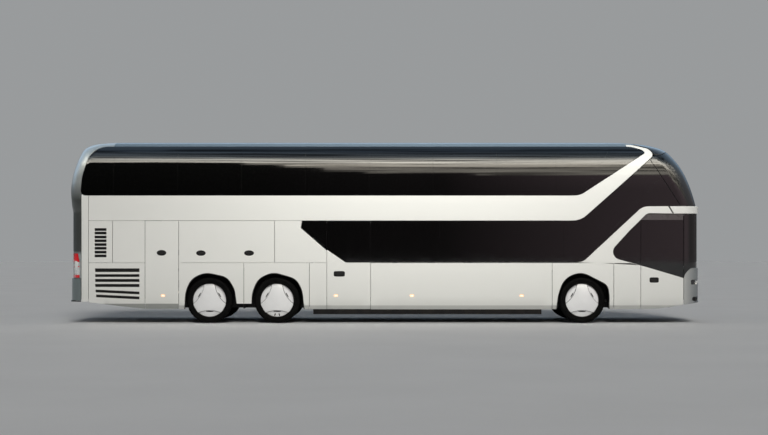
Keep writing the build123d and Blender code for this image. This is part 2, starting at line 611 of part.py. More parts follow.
save(
    gather([
        block(-5300, -5260, -ROOM_Y, ROOM_Y, 1170, DECK_Z[0] - 1),     # ahead of the engine bay
        block(-1740, -1702, -ROOM_Y, ROOM_Y, HOUSE_TOP + 1, DECK_Z[0] - 1),   # behind the lower saloon
        block(-5255, -1745, -ROOM_Y, ROOM_Y, HOUSE_TOP + 1, HOUSE_TOP + 36),  # floor of the luggage bay
    ]),
    "luggage_bay",
)

STEPS, STEP_RISE = 7, 255
step_run = (STAIR_X[1] - STAIR_X[0]) / STEPS
with BuildPart() as stairs:
    for i in range(STEPS):
        z = FLOOR_Z[1] + STEP_RISE * (i + 1) - 5
        x = STAIR_X[1] - step_run * (i + 0.5)
        with Locations((x, (STAIR_Y[0] + STAIR_Y[1]) / 2, z - 15)):
            Box(step_run + 30, STAIR_Y[1] - STAIR_Y[0] - 60, 30)
    for y in (STAIR_Y[0] + 22, STAIR_Y[1] - 22):
        with BuildSketch(Plane.XZ.offset(-y)):
            with BuildLine():
                Polyline(
                    (STAIR_X[1] + 40, FLOOR_Z[1] + 1), (STAIR_X[1] + 40, FLOOR_Z[1] + 260), (STAIR_X[0] + 30, 2285),
                    (STAIR_X[0] + 5, 2285), (STAIR_X[0] + 5, 2000), (STAIR_X[1] - 220, FLOOR_Z[1] + 1), close=True)
            make_face()
        extrude(amount=16, both=True)
save(stairs.part, "stairs")

# ---------------------------------------------------------------- seats
SEAT_W, SEAT_PITCH = 450, 830
CUSHION = (450, 110)       # depth, thickness
BACK_H, BACK_T = 700, 90
CUSHION_TOP = 430


def seat_row(x, y, z, seats=2):
    """A double seat facing forward: plinth, cushion and leaning back in one solid."""
    half = seats * SEAT_W / 2
    with BuildPart() as row:
        with BuildSketch(Plane.XZ.offset(-y)):
            with BuildLine():
                Polyline(
                    (x - 150, z), (x + 100, z), (x + 120, z + CUSHION_TOP - CUSHION[1]), (x + CUSHION[0] - 200, z + CUSHION_TOP - CUSHION[1]),
                    (x + CUSHION[0] - 190, z + CUSHION_TOP), (x - 190, z + CUSHION_TOP), (x - 330, z + CUSHION_TOP + BACK_H),
                    (x - 330 - BACK_T, z + CUSHION_TOP + BACK_H - 10), (x - 190 - BACK_T, z + CUSHION_TOP - CUSHION[1]), (x - 150, z + CUSHION_TOP - CUSHION[1] - 10),
                    close=True)
            make_face()
        extrude(amount=half, both=True)
    return row.part


SEAT_Y = 690
UPPER_ROWS = [-5900 + SEAT_PITCH * i for i in range(13)]
LOWER_ROWS = [-300 + SEAT_PITCH * i for i in range(5)]
upper_rows = [seat_row(x, y, DECK_Z[1] + 1) for x in UPPER_ROWS for y in (SEAT_Y, -SEAT_Y)
              if not (y > 0 and STAIR_X[0] - 500 < x < STAIR_X[1] + 400)]
lower_rows = [seat_row(x, y, FLOOR_Z[1] + 1) for x in LOWER_ROWS for y in (SEAT_Y, -SEAT_Y)
              if not (y < 0 and x < 300) and not (y > 0 and x < 300)]
save(gather(upper_rows + lower_rows), "passenger_seats")

DRIVER_Y = 640
driver_part = seat_row(5560, DRIVER_Y, 560, 1)
with BuildPart() as driver_seat:
    add(driver_part)
    with Locations((5540, DRIVER_Y, 531)):
        Box(500, 560, 60)
save(driver_seat.part, "driver_seat")

with BuildPart() as dashboard:
    with BuildSketch(Plane.XZ.offset(1180)):
        with BuildLine():
            Polyline((6260, 1130), (6560, 1180), (6900, 1120), (6900, 900), (6420, 700), (6380, 502), (6330, 502), (6330, 900), close=True)
        make_face()
    extrude(amount=-2360)
    with Locations((6400, -900, 900)):
        Box(800, 760, 1000, mode=Mode.SUBTRACT)
    add(front_room, mode=Mode.INTERSECT)
save(dashboard.part, "dashboard")

WHEEL_TILT = 25
steer_plane = Plane(origin=(6130, DRIVER_Y, 1235), z_dir=(-sin(radians(WHEEL_TILT)), 0, cos(radians(WHEEL_TILT))))
with BuildPart() as steering_wheel:
    with BuildSketch(Plane(origin=steer_plane.origin, x_dir=steer_plane.x_dir, z_dir=steer_plane.y_dir)):
        with Locations((225, 0)):
            Circle(16)
    revolve(axis=Axis(steer_plane.origin, steer_plane.z_dir))
    with BuildSketch(steer_plane):
        Circle(60)
        Rectangle(440, 36)
        with Locations((0, -110)):
            Rectangle(36, 220)
    extrude(amount=-24)
    with BuildSketch(steer_plane.offset(-20)):
        Circle(30)
    extrude(amount=-110)
save(steering_wheel.part, "steering_wheel")

# ---------------------------------------------------------------- underbody
RAIL_Y, RAIL_W = 440, 80
LOW_RAIL_Z, HIGH_RAIL_Z = (330, 439), (760, 900)
RAIL_STEP_X = -1690        # the rails step up behind this
CROSS_LOW = (-1200, 200, 1700, 3100, 5200, 6200)
CROSS_HIGH = (-6675, -5380, -3120, -1850)
RAIL_IN, RAIL_OUT = RAIL_Y - RAIL_W / 2, RAIL_Y + RAIL_W / 2
CROSS_Y = 1170             # the low cross beams reach the side walls
TRAY_Z = 182               # trays with the fuel tank and battery boxes hang under the rails
# columns: rear x, front x, inner y, outer y, low z, high z; each beam of the left side, mirrored to the right
BEAMS = [
    (RAIL_STEP_X, 6400, RAIL_IN, RAIL_OUT, *LOW_RAIL_Z),
    (-6715, RAIL_STEP_X, RAIL_IN, RAIL_OUT, *HIGH_RAIL_Z),
    (RAIL_STEP_X - 60, RAIL_STEP_X - SEAM, RAIL_IN, RAIL_OUT, LOW_RAIL_Z[0], HIGH_RAIL_Z[0] - SEAM),
    (-1600, 3450, 12, 930, TRAY_Z, LOW_RAIL_Z[0] - SEAM),
]
beams = [block(x0, x1, way * y0, way * y1, z0, z1) for x0, x1, y0, y1, z0, z1 in BEAMS for way in (1, -1)]
LOW_MID = sum(LOW_RAIL_Z) / 2
for x in CROSS_LOW:
    beams.append(block(x - 40, x + 40, -RAIL_IN + SEAM, RAIL_IN - SEAM, LOW_MID - 40, LOW_MID + 40))
    beams += [block(x - 40, x + 40, way * (RAIL_OUT + SEAM), way * CROSS_Y, LOW_MID - 40, LOW_MID + 40) for way in (1, -1)]
HIGH_MID = sum(HIGH_RAIL_Z) / 2
beams += [block(x - 40, x + 40, -RAIL_IN + SEAM, RAIL_IN - SEAM, HIGH_MID - 50, HIGH_MID + 50) for x in CROSS_HIGH]
save(gather(beams), "chassis_frame")

ENGINE = (-6620, -5480, -380, 380, 480, 1250)
save(block(*ENGINE), "engine")

with BuildPart() as front_axle:
    with Locations((AXLE_X["front"], 0, 275)):
        Box(120, 2 * KINGPIN_Y + 110, 60)
    for way in (1, -1):
        with Locations((AXLE_X["front"], way * KINGPIN_Y, 420)):
            Cylinder(22, 360)
TUBE_R = 75
with BuildPart() as drive_axle:
    with Locations(Location((AXLE_X["drive"], 0, AXLE_Z), (90, 0, 0))):
        Cylinder(TUBE_R, 2 * 590)
        Cylinder(38, 2 * 1085)
    with Locations((AXLE_X["drive"], 0, AXLE_Z)):
        Sphere(190)
with BuildPart() as tag_axle:
    with Locations((AXLE_X["tag"], 0, AXLE_Z)):
        Box(150, 2 * 590, 130)
    with Locations(Location((AXLE_X["tag"], 0, AXLE_Z), (90, 0, 0))):
        Cylinder(38, 2 * 1085)
save(gather([front_axle.part, drive_axle.part, tag_axle.part]), "axles")

# knuckles: a block that turns on the kingpin, with the stub that the wheel runs on
for way, word in ((1, "left"), (-1, "right")):
    with BuildPart() as knuckle:
        with Locations((AXLE_X["front"], way * KINGPIN_Y, 465)):
            Cylinder(62, 290)
        with Locations(Location((AXLE_X["front"], way * (KINGPIN_Y + 1085) / 2, AXLE_Z), (90, 0, 0))):
            Cylinder(38, 1085 - KINGPIN_Y)
        with Locations((AXLE_X["front"], way * KINGPIN_Y, 465)):
            Cylinder(23, 400, mode=Mode.SUBTRACT)
    save(knuckle.part, f"front_{word}_knuckle")


def tyre(x, y):
    """A tyre ring with rounded shoulders."""
    h = TYRE_W / 2
    with BuildPart() as t:
        with BuildSketch(Plane.XY):
            with BuildLine():
                Polyline(
                    (TYRE_BORE, -h + 22), (TYRE_R - 40, -h), (TYRE_R, -h + 34), (TYRE_R, h - 34), (TYRE_R - 40, h), (TYRE_BORE, h - 22), close=True)
            make_face()
        revolve(axis=Axis.Y)
    return t.part.moved(Location((x, y, AXLE_Z)))


def wheel(x, y, way, inner_y=None):
    """Rim barrel, disc with a hub on the stub, and the smooth cover outside; one solid."""
    h = TYRE_W / 2
    out = y + way * (h - 10)
    deep = (inner_y if inner_y is not None else y) - way * (h - 24)
    with BuildPart() as w:
        with Locations(Location((x, (out + deep) / 2, AXLE_Z), (90, 0, 0))):
            Cylinder(WHEEL_R, abs(out - deep))
            Cylinder(WHEEL_R - 22, abs(out - deep) + 2, mode=Mode.SUBTRACT)
        with Locations(Location((x, way * 1100, AXLE_Z), (90, 0, 0))):
            Cylinder(WHEEL_R - 10, 26)
        with Locations(Location((x, way * 1060, AXLE_Z), (90, 0, 0))):
            Cylinder(120, 100)
        with Locations(Location((x, out - way * 4.5, AXLE_Z), (90, 0, 0))):
            Cylinder(WHEEL_R + 10, 8)
            Cylinder(200, 30)
        with Locations(Location((x, way * 1040, AXLE_Z), (90, 0, 0))):
            Cylinder(39, 100, mode=Mode.SUBTRACT)
    return w.part


for axle, ys in (("front", (SINGLE_Y,)), ("drive", TWIN_Y), ("tag", (SINGLE_Y,))):
    for way, word in ((1, "left"), (-1, "right")):
        x = AXLE_X[axle]
        save(gather([tyre(x, way * y) for y in ys]), f"{axle}_{word}_tyre" + ("s" if len(ys) > 1 else ""))
        save(wheel(x, way * ys[0], way, way * ys[-1]), f"{axle}_{word}_wheel")
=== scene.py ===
import math
import bpy
import numpy as np
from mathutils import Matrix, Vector
from mathutils.geometry import delaunay_2d_cdt


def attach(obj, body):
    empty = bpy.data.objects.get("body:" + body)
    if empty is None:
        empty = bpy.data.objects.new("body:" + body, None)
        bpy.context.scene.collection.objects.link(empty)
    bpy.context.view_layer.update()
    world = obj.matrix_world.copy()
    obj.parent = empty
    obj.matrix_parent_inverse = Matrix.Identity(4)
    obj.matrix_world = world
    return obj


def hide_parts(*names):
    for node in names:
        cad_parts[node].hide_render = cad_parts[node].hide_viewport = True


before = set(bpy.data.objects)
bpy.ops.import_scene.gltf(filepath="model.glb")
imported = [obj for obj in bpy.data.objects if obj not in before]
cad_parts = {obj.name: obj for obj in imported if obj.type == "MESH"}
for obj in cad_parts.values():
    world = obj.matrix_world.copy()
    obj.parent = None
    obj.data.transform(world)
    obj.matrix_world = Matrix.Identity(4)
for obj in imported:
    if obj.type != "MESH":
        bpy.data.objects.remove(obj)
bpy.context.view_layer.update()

PI = math.pi

# Double-deck touring coach: the looks. Metres, ground at z = 0, +X forward, +Y to the left.

# ================================================================ camera
cam_data = bpy.data.cameras.new("camera")
cam_data.lens, cam_data.sensor_width = 70.7, 36.0
cam_data.shift_y = 0.0395
cam_data.clip_end = 2000
camera = bpy.data.objects.new("camera", cam_data)
camera.location = (-0.034, -34.3, 1.65)
camera.rotation_euler = (PI / 2, 0, 0)
bpy.context.scene.collection.objects.link(camera)
bpy.context.scene.camera = camera

bpy.context.scene.view_settings.view_transform = "Standard"

# ================================================================ materials
MATS = {}


def noise(nt, coord, scale, detail=3.0, rough=0.5, stretch=None):
    n = nt.nodes.new("ShaderNodeTexNoise")
    n.inputs["Scale"].default_value = scale
    n.inputs["Detail"].default_value = detail
    n.inputs["Roughness"].default_value = rough
    if stretch:
        m = nt.nodes.new("ShaderNodeMapping")
        m.inputs["Scale"].default_value = stretch
        nt.links.new(coord, m.inputs["Vector"])
        nt.links.new(m.outputs["Vector"], n.inputs["Vector"])
    else:
        nt.links.new(coord, n.inputs["Vector"])
    return n.outputs["Fac"]


def ranged(nt, fac, lo, hi, from_lo=0.3, from_hi=0.7):
    m = nt.nodes.new("ShaderNodeMapRange")
    m.inputs["From Min"].default_value = from_lo
    m.inputs["From Max"].default_value = from_hi
    m.inputs["To Min"].default_value = lo
    m.inputs["To Max"].default_value = hi
    nt.links.new(fac, m.inputs["Value"])
    return m.outputs["Result"]


def lin(c):
    """sRGB 0-255 to linear."""
    out = []
    for v in c:
        v = v / 255.0
        out.append(v / 12.92 if v <= 0.04045 else ((v + 0.055) / 1.055) ** 2.4)
    return out


def material(name, color, rough=0.45, metal=0.0, coat=0.0, coat_rough=0.03, ior=1.5, alpha=1.0, var=0.06, var_scale=1.3,
             grain=0.0, grain_scale=400.0, rough_var=0.06, bump=0.0, bump_scale=500.0, bump_dist=0.0005, color2=None,
             emission=None, emission_strength=0.0, stretch=None, sheen=0.0, pattern=None, transmission=0.0, specular=0.5):
    """A procedural material: base colour with drifting tone and fine grain, roughness and bump from noise."""
    m = bpy.data.materials.new(name)
    m.use_nodes = True
    nt = m.node_tree
    bsdf = nt.nodes["Principled BSDF"]
    tc = nt.nodes.new("ShaderNodeTexCoord")
    obj = tc.outputs["Object"]
    base = list(color) + [1.0]
    second = (list(color2) if color2 else [max(0.0, c * (1 - 2 * var)) for c in color]) + [1.0]
    mix = nt.nodes.new("ShaderNodeMix")
    mix.data_type = "RGBA"
    mix.inputs["A"].default_value = base
    mix.inputs["B"].default_value = second
    fac = ranged(nt, noise(nt, obj, var_scale, 4.0, 0.55, stretch), 0.0, 1.0)
    if pattern is not None:
        fac = pattern(nt, obj, fac)
    nt.links.new(fac, mix.inputs["Factor"])
    result = mix.outputs["Result"]
    if grain > 0:
        g = nt.nodes.new("ShaderNodeMix")
        g.data_type = "RGBA"
        g.blend_type = "MULTIPLY"
        g.inputs["Factor"].default_value = 1.0
        ramp = nt.nodes.new("ShaderNodeCombineColor")
        gv = ranged(nt, noise(nt, obj, grain_scale, 2.0, 0.6), 1.0 - grain, 1.0 + grain)
        for ch in ("Red", "Green", "Blue"):
            nt.links.new(gv, ramp.inputs[ch])
        nt.links.new(result, g.inputs["A"])
        nt.links.new(ramp.outputs["Color"], g.inputs["B"])
        result = g.outputs["Result"]
    nt.links.new(result, bsdf.inputs["Base Color"])
    rv = ranged(nt, noise(nt, obj, 7.0, 4.0, 0.6), max(0.0, rough - rough_var), min(1.0, rough + rough_var))
    nt.links.new(rv, bsdf.inputs["Roughness"])
    if bump > 0:
        b = nt.nodes.new("ShaderNodeBump")
        b.inputs["Strength"].default_value = bump
        b.inputs["Distance"].default_value = bump_dist
        nt.links.new(noise(nt, obj, bump_scale, 3.0, 0.6), b.inputs["Height"])
        nt.links.new(b.outputs["Normal"], bsdf.inputs["Normal"])
    bsdf.inputs["Metallic"].default_value = metal
    bsdf.inputs["IOR"].default_value = ior
    bsdf.inputs["Coat Weight"].default_value = coat
    bsdf.inputs["Coat Roughness"].default_value = coat_rough
    bsdf.inputs["Alpha"].default_value = alpha
    bsdf.inputs["Transmission Weight"].default_value = transmission
    bsdf.inputs["Specular IOR Level"].default_value = specular
    if sheen:
        bsdf.inputs["Sheen Weight"].default_value = sheen
        bsdf.inputs["Sheen Roughness"].default_value = 0.5
    if emission:
        bsdf.inputs["Emission Color"].default_value = list(emission) + [1.0]
        bsdf.inputs["Emission Strength"].default_value = emission_strength
    MATS[name] = m
    return m


def skirt_shade(nt, obj, fac):
    """Painted shade on the tucked-in skirt: 0 above the crease, most under the engine bay; painted shade also deepens
    down the lower panels.
    """
    sep = nt.nodes.new("ShaderNodeSeparateXYZ")
    nt.links.new(obj, sep.inputs["Vector"])
    low = nt.nodes.new("ShaderNodeMapRange")
    rear = nt.nodes.new("ShaderNodeMapRange")
    lift = nt.nodes.new("ShaderNodeMath")       # the dark band starts higher under the engine bay
    lift.operation = "MULTIPLY_ADD"
    lift.inputs[1].default_value = -0.038
    for n, vals in ((low, (0.394, 0.384, 0.0, 0.36)), (rear, (-4.520, -4.545, 0.0, 1.0))):
        for k, v in zip(("From Min", "From Max", "To Min", "To Max"), vals):
            n.inputs[k].default_value = v
    nt.links.new(sep.outputs["X"], rear.inputs["Value"])
    nt.links.new(rear.outputs["Result"], lift.inputs[0])
    nt.links.new(sep.outputs["Z"], lift.inputs[2])
    nt.links.new(lift.outputs[0], low.inputs["Value"])
    more = nt.nodes.new("ShaderNodeMath")
    more.operation = "ADD"
    more.inputs[1].default_value = 1.0
    nt.links.new(rear.outputs["Result"], more.inputs[0])
    low_shade_ramp = nt.nodes.new("ShaderNodeMapRange")      # painted shade deepens down the lower panels
    for k, v in zip(("From Min", "From Max", "To Min", "To Max"), (1.45, 0.40, 0.0, 0.18)):
        low_shade_ramp.inputs[k].default_value = v
    nt.links.new(sep.outputs["Z"], low_shade_ramp.inputs["Value"])
    mul = nt.nodes.new("ShaderNodeMath")
    mul.operation = "MULTIPLY_ADD"
    nt.links.new(low.outputs["Result"], mul.inputs[0])
    nt.links.new(more.outputs[0], mul.inputs[1])
    nt.links.new(low_shade_ramp.outputs["Result"], mul.inputs[2])
    drift = nt.nodes.new("ShaderNodeMath")
    drift.operation = "MULTIPLY_ADD"
    nt.links.new(fac, drift.inputs[0])
    drift.inputs[1].default_value = 0.020
    nt.links.new(mul.outputs[0], drift.inputs[2])
    drift.use_clamp = True
    return drift.outputs[0]


# the white paint's second colour is painted shade, mixed in low on the body by skirt_shade
WHITE = material("paint_white", (0.80, 0.80, 0.765), rough=0.42, coat=0.85, coat_rough=0.045, color2=(0.24, 0.25, 0.235), var_scale=0.55,
                 grain=0.018, grain_scale=900, bump=0.10, bump_scale=700, bump_dist=0.0002, pattern=skirt_shade)
def mask_shade(nt, obj, fac):
    """Painted shade: the mask turns darker towards the nose."""
    sep = nt.nodes.new("ShaderNodeSeparateXYZ")
    nt.links.new(obj, sep.inputs["Vector"])
    fore = nt.nodes.new("ShaderNodeMapRange")
    for k, v in zip(("From Min", "From Max", "To Min", "To Max"), (6.52, 6.84, 0.0, 0.72)):
        fore.inputs[k].default_value = v
    nt.links.new(sep.outputs["X"], fore.inputs["Value"])
    drift = nt.nodes.new("ShaderNodeMath")
    drift.operation = "MULTIPLY_ADD"
    nt.links.new(fac, drift.inputs[0])
    drift.inputs[1].default_value = 0.03
    nt.links.new(fore.outputs["Result"], drift.inputs[2])
    drift.use_clamp = True
    return drift.outputs[0]


# the soft silver's second colour is painted shade towards the nose
SOFT_SILVER = material("paint_silver_soft", (0.46, 0.47, 0.46), rough=0.40, metal=0.25, coat=0.8, color2=(0.10, 0.12, 0.135), var_scale=0.8, grain=0.03,
                       grain_scale=900, pattern=mask_shade)
BUMPER_PAINT = material("paint_bumper", (0.175, 0.21, 0.215), rough=0.38, metal=0.3, coat=0.7, var=0.03, var_scale=0.9, grain=0.03, grain_scale=900)
ROOF_PAINT = material("paint_roof", (0.125, 0.162, 0.195), rough=0.40, metal=0.2, coat=0.7, var=0.02, var_scale=0.6, grain=0.02, grain_scale=900)
SILVER = material("paint_silver", (0.47, 0.50, 0.50), rough=0.36, metal=0.72, coat=0.8, var=0.02, var_scale=0.8,
                  grain=0.10, grain_scale=1500, bump=0.08, bump_scale=900, bump_dist=0.0002)
def tail_shade(nt, obj, fac):
    """Painted dark reflection: the tail frame darkens between the belt and the lamps."""
    sep = nt.nodes.new("ShaderNodeSeparateXYZ")
    nt.links.new(obj, sep.inputs["Vector"])
    low = nt.nodes.new("ShaderNodeMapRange")
    top = nt.nodes.new("ShaderNodeMapRange")
    for n, vals in ((low, (1.50, 1.58, 0.0, 0.85)), (top, (2.70, 3.10, 1.0, 0.0))):
        for k, v in zip(("From Min", "From Max", "To Min", "To Max"), vals):
            n.inputs[k].default_value = v
        nt.links.new(sep.outputs["Z"], n.inputs["Value"])
    mul = nt.nodes.new("ShaderNodeMath")
    mul.operation = "MULTIPLY"
    nt.links.new(low.outputs["Result"], mul.inputs[0])
    nt.links.new(top.outputs["Result"], mul.inputs[1])
    drift = nt.nodes.new("ShaderNodeMath")
    drift.operation = "MULTIPLY_ADD"
    nt.links.new(fac, drift.inputs[0])
    drift.inputs[1].default_value = 0.04
    nt.links.new(mul.outputs[0], drift.inputs[2])
    drift.use_clamp = True
    return drift.outputs[0]


# the tail silver's second colour is a painted dark reflection between the belt and the lamps
SILVER_TAIL = material("paint_silver_tail", (0.47, 0.50, 0.50), rough=0.36, metal=0.55, coat=0.8, color2=(0.030, 0.034, 0.030), var_scale=0.8,
                       grain=0.08, grain_scale=1500, bump=0.08, bump_scale=900, bump_dist=0.0002, pattern=tail_shade)
BLACK = material("paint_black", (0.012, 0.012, 0.014), rough=0.28, coat=1.0, coat_rough=0.02, var=0.1, var_scale=1.5,
                 grain=0.08, grain_scale=800)
GLASS = material("glass_dark", (0.0016, 0.0015, 0.0016), rough=0.035, rough_var=0.012, ior=1.85, alpha=0.93, var=0.15, var_scale=0.7,
                 coat=0.0, bump=0.05, bump_scale=1.6, bump_dist=0.004)
LENS = material("lens_clear", (0.80, 0.84, 0.86), rough=0.05, rough_var=0.02, ior=1.5, alpha=0.22, coat=1.0, var=0.05)
RED_LENS = material("lens_red", (0.62, 0.012, 0.018), rough=0.12, coat=1.0, var=0.10, var_scale=30, grain=0.12, grain_scale=220,
                    emission=(0.8, 0.02, 0.03), emission_strength=0.12)
AMBER = material("lens_amber", (0.85, 0.50, 0.24), rough=0.2, coat=1.0, var=0.08, var_scale=40,
                 emission=(1.0, 0.50, 0.20), emission_strength=0.55)
WARM = material("lens_warm_white", (1.0, 0.95, 0.84), rough=0.2, coat=1.0, var=0.05, var_scale=60,
                emission=(1.0, 0.93, 0.78), emission_strength=0.9)
LAMP_BACK = material("lamp_back", (0.86, 0.87, 0.84), rough=0.28, metal=0.15, var=0.05, var_scale=35, grain=0.05, grain_scale=500)
SHADE_FILM = material("shade_film", (0.085, 0.074, 0.076), rough=0.30, var=0.05, var_scale=6, grain=0.05, grain_scale=700)
CHROME = material("reflector", (0.78, 0.79, 0.80), rough=0.12, metal=1.0, var=0.04, var_scale=40, grain=0.05, grain_scale=500)
COVER = material("wheel_cover_paint", (0.83, 0.83, 0.83), rough=0.20, rough_var=0.04, metal=0.0, specular=1.0, coat=1.0, var=0.025, var_scale=5,
                 grain=0.04, grain_scale=1200, bump=0.05, bump_scale=900, bump_dist=0.0002)
RUBBER = material("tyre_rubber", (0.0030, 0.0030, 0.0032), rough=0.82, specular=0.07, var=0.28, var_scale=9, color2=(0.0060, 0.0058, 0.0054),
                  grain=0.12, grain_scale=260, bump=0.35, bump_scale=420, bump_dist=0.0010)
LINER = material("moulded_liner", (0.030, 0.030, 0.031), rough=0.80, var=0.25, var_scale=5, grain=0.12, grain_scale=300, bump=0.3, bump_scale=160)
SEAL = material("rubber_seal", (0.010, 0.010, 0.011), rough=0.55, var=0.15, var_scale=12, bump=0.2, bump_scale=500)
PLASTIC = material("plastic_black", (0.0075, 0.0075, 0.008), rough=0.52, var=0.15, var_scale=6, grain=0.10, grain_scale=500,
                   bump=0.25, bump_scale=900, bump_dist=0.0006)
STEEL = material("chassis_steel", (0.045, 0.045, 0.047), rough=0.55, metal=0.5, var=0.25, var_scale=5, color2=(0.075, 0.068, 0.060),
                 grain=0.12, grain_scale=160, bump=0.25, bump_scale=180, bump_dist=0.001)
IRON = material("engine_iron", (0.13, 0.13, 0.135), rough=0.6, metal=0.6, var=0.2, var_scale=5, color2=(0.09, 0.08, 0.07),
                grain=0.15, grain_scale=240, bump=0.5, bump_scale=220, bump_dist=0.002)
FLOOR_VINYL = material("floor_vinyl", (0.10, 0.10, 0.105), rough=0.5, var=0.15, var_scale=60, color2=(0.16, 0.16, 0.165),
                       grain=0.25, grain_scale=500, bump=0.15, bump_scale=600)
TRIM = material("trim_panel", (0.30, 0.30, 0.305), rough=0.62, var=0.06, var_scale=3, grain=0.08, grain_scale=700,
                bump=0.25, bump_scale=900, bump_dist=0.0006)
DASH = material("dash_grain", (0.028, 0.028, 0.030), rough=0.58, var=0.1, var_scale=5, grain=0.1, grain_scale=700,
                bump=0.5, bump_scale=650, bump_dist=0.0008)


def weave(nt, coord, fac):
    """Woven stripes for the seat fabric."""
    w = nt.nodes.new("ShaderNodeTexWave")
    w.wave_type = "BANDS"
    w.bands_direction = "Y"
    w.inputs["Scale"].default_value = 14.0
    w.inputs["Distortion"].default_value = 0.6
    nt.links.new(coord, w.inputs["Vector"])
    m = nt.nodes.new("ShaderNodeMath")
    m.operation = "MULTIPLY"
    nt.links.new(w.outputs["Fac"], m.inputs[0])
    nt.links.new(fac, m.inputs[1])
    return m.outputs["Value"]


FABRIC = material("seat_fabric", (0.075, 0.085, 0.13), rough=0.88, var=0.2, color2=(0.16, 0.17, 0.21), pattern=weave, sheen=0.25,
                  grain=0.22, grain_scale=420, bump=0.6, bump_scale=800, bump_dist=0.001)
LEATHER = material("headrest_leather", (0.035, 0.033, 0.034), rough=0.5, var=0.12, var_scale=14, bump=0.5, bump_scale=260,
                   bump_dist=0.0008, grain=0.08)

# ================================================================ the body surface
# Plan sections above the belt. columns: z, half width, front x, front corner radius, rear x, rear corner radius
DOME = np.array([
    (2408, 1275, 6970, 350, -6950, 260), (2568, 1275, 6945, 360, -6975, 262), (2900, 1269, 6850, 390, -7000, 270),
    (3200, 1250, 6730, 420, -6965, 290), (3450, 1212, 6590, 450, -6895, 320), (3640, 1152, 6440, 470, -6825, 340),
    (3790, 1068, 6285, 470, -6755, 350), (3865, 994, 6125, 455, -6692, 350), (3950, 840, 5770, 420, -6500, 330),
    (3994, 600, 5250, 380, -6080, 300), (3999, 300, 4900, 200, -5800, 180), (4000, 0, 4600, 0, -5550, 0),
]) / 1000.0
CROWN_F, CROWN_R = 5.0, 8.0
UPRIGHT_TOP, SKIRT_Z, CREASE_Z, TUCK = 2.408, 0.300, 0.420, 0.040


def pchip(values, flat_start=False, flat_end=False, per=240):
    """Monotone cubic through evenly spaced values, sampled densely."""
    y = np.asarray(values, float)
    d = np.diff(y)
    slope = np.zeros(len(y))
    for i in range(1, len(y) - 1):
        if d[i - 1] * d[i] > 0:
            slope[i] = 2 * d[i - 1] * d[i] / (d[i - 1] + d[i])
    slope[0] = 0 if flat_start else d[0]
    slope[-1] = 0 if flat_end else d[-1]
    t = np.linspace(0, 1, per, endpoint=False)
    out = []
    for i in range(len(y) - 1):
        h00, h10 = 2 * t**3 - 3 * t**2 + 1, t**3 - 2 * t**2 + t
        h01, h11 = -2 * t**3 + 3 * t**2, t**3 - t**2
        out.append(h00 * y[i] + h10 * slope[i] + h01 * y[i + 1] + h11 * slope[i + 1])
    return np.append(np.concatenate(out), y[-1])


LUT = np.stack([pchip(DOME[:, k], flat_start=(k != 0), flat_end=(k == 0)) for k in range(6)], axis=1)
_step = np.hypot(np.diff(LUT[:, 0]), np.diff(LUT[:, 1]))
LUT_V = UPRIGHT_TOP + np.concatenate([[0], np.cumsum(_step)])
V_MAX = float(LUT_V[-1])
_rim = int(np.argmin(np.abs(LUT[:, 0] - 3.9939)))
LUT_Z = LUT[:, 0].copy()
LUT_Z[_rim:] = LUT_Z[_rim] + (LUT_V[_rim:] - LUT_V[_rim])      # beyond the rim, z in an outline runs on as length


def v_of_z(z):
    z = np.asarray(z, float)
    return np.where(z <= UPRIGHT_TOP, z, np.interp(z, LUT_Z, LUT_V))


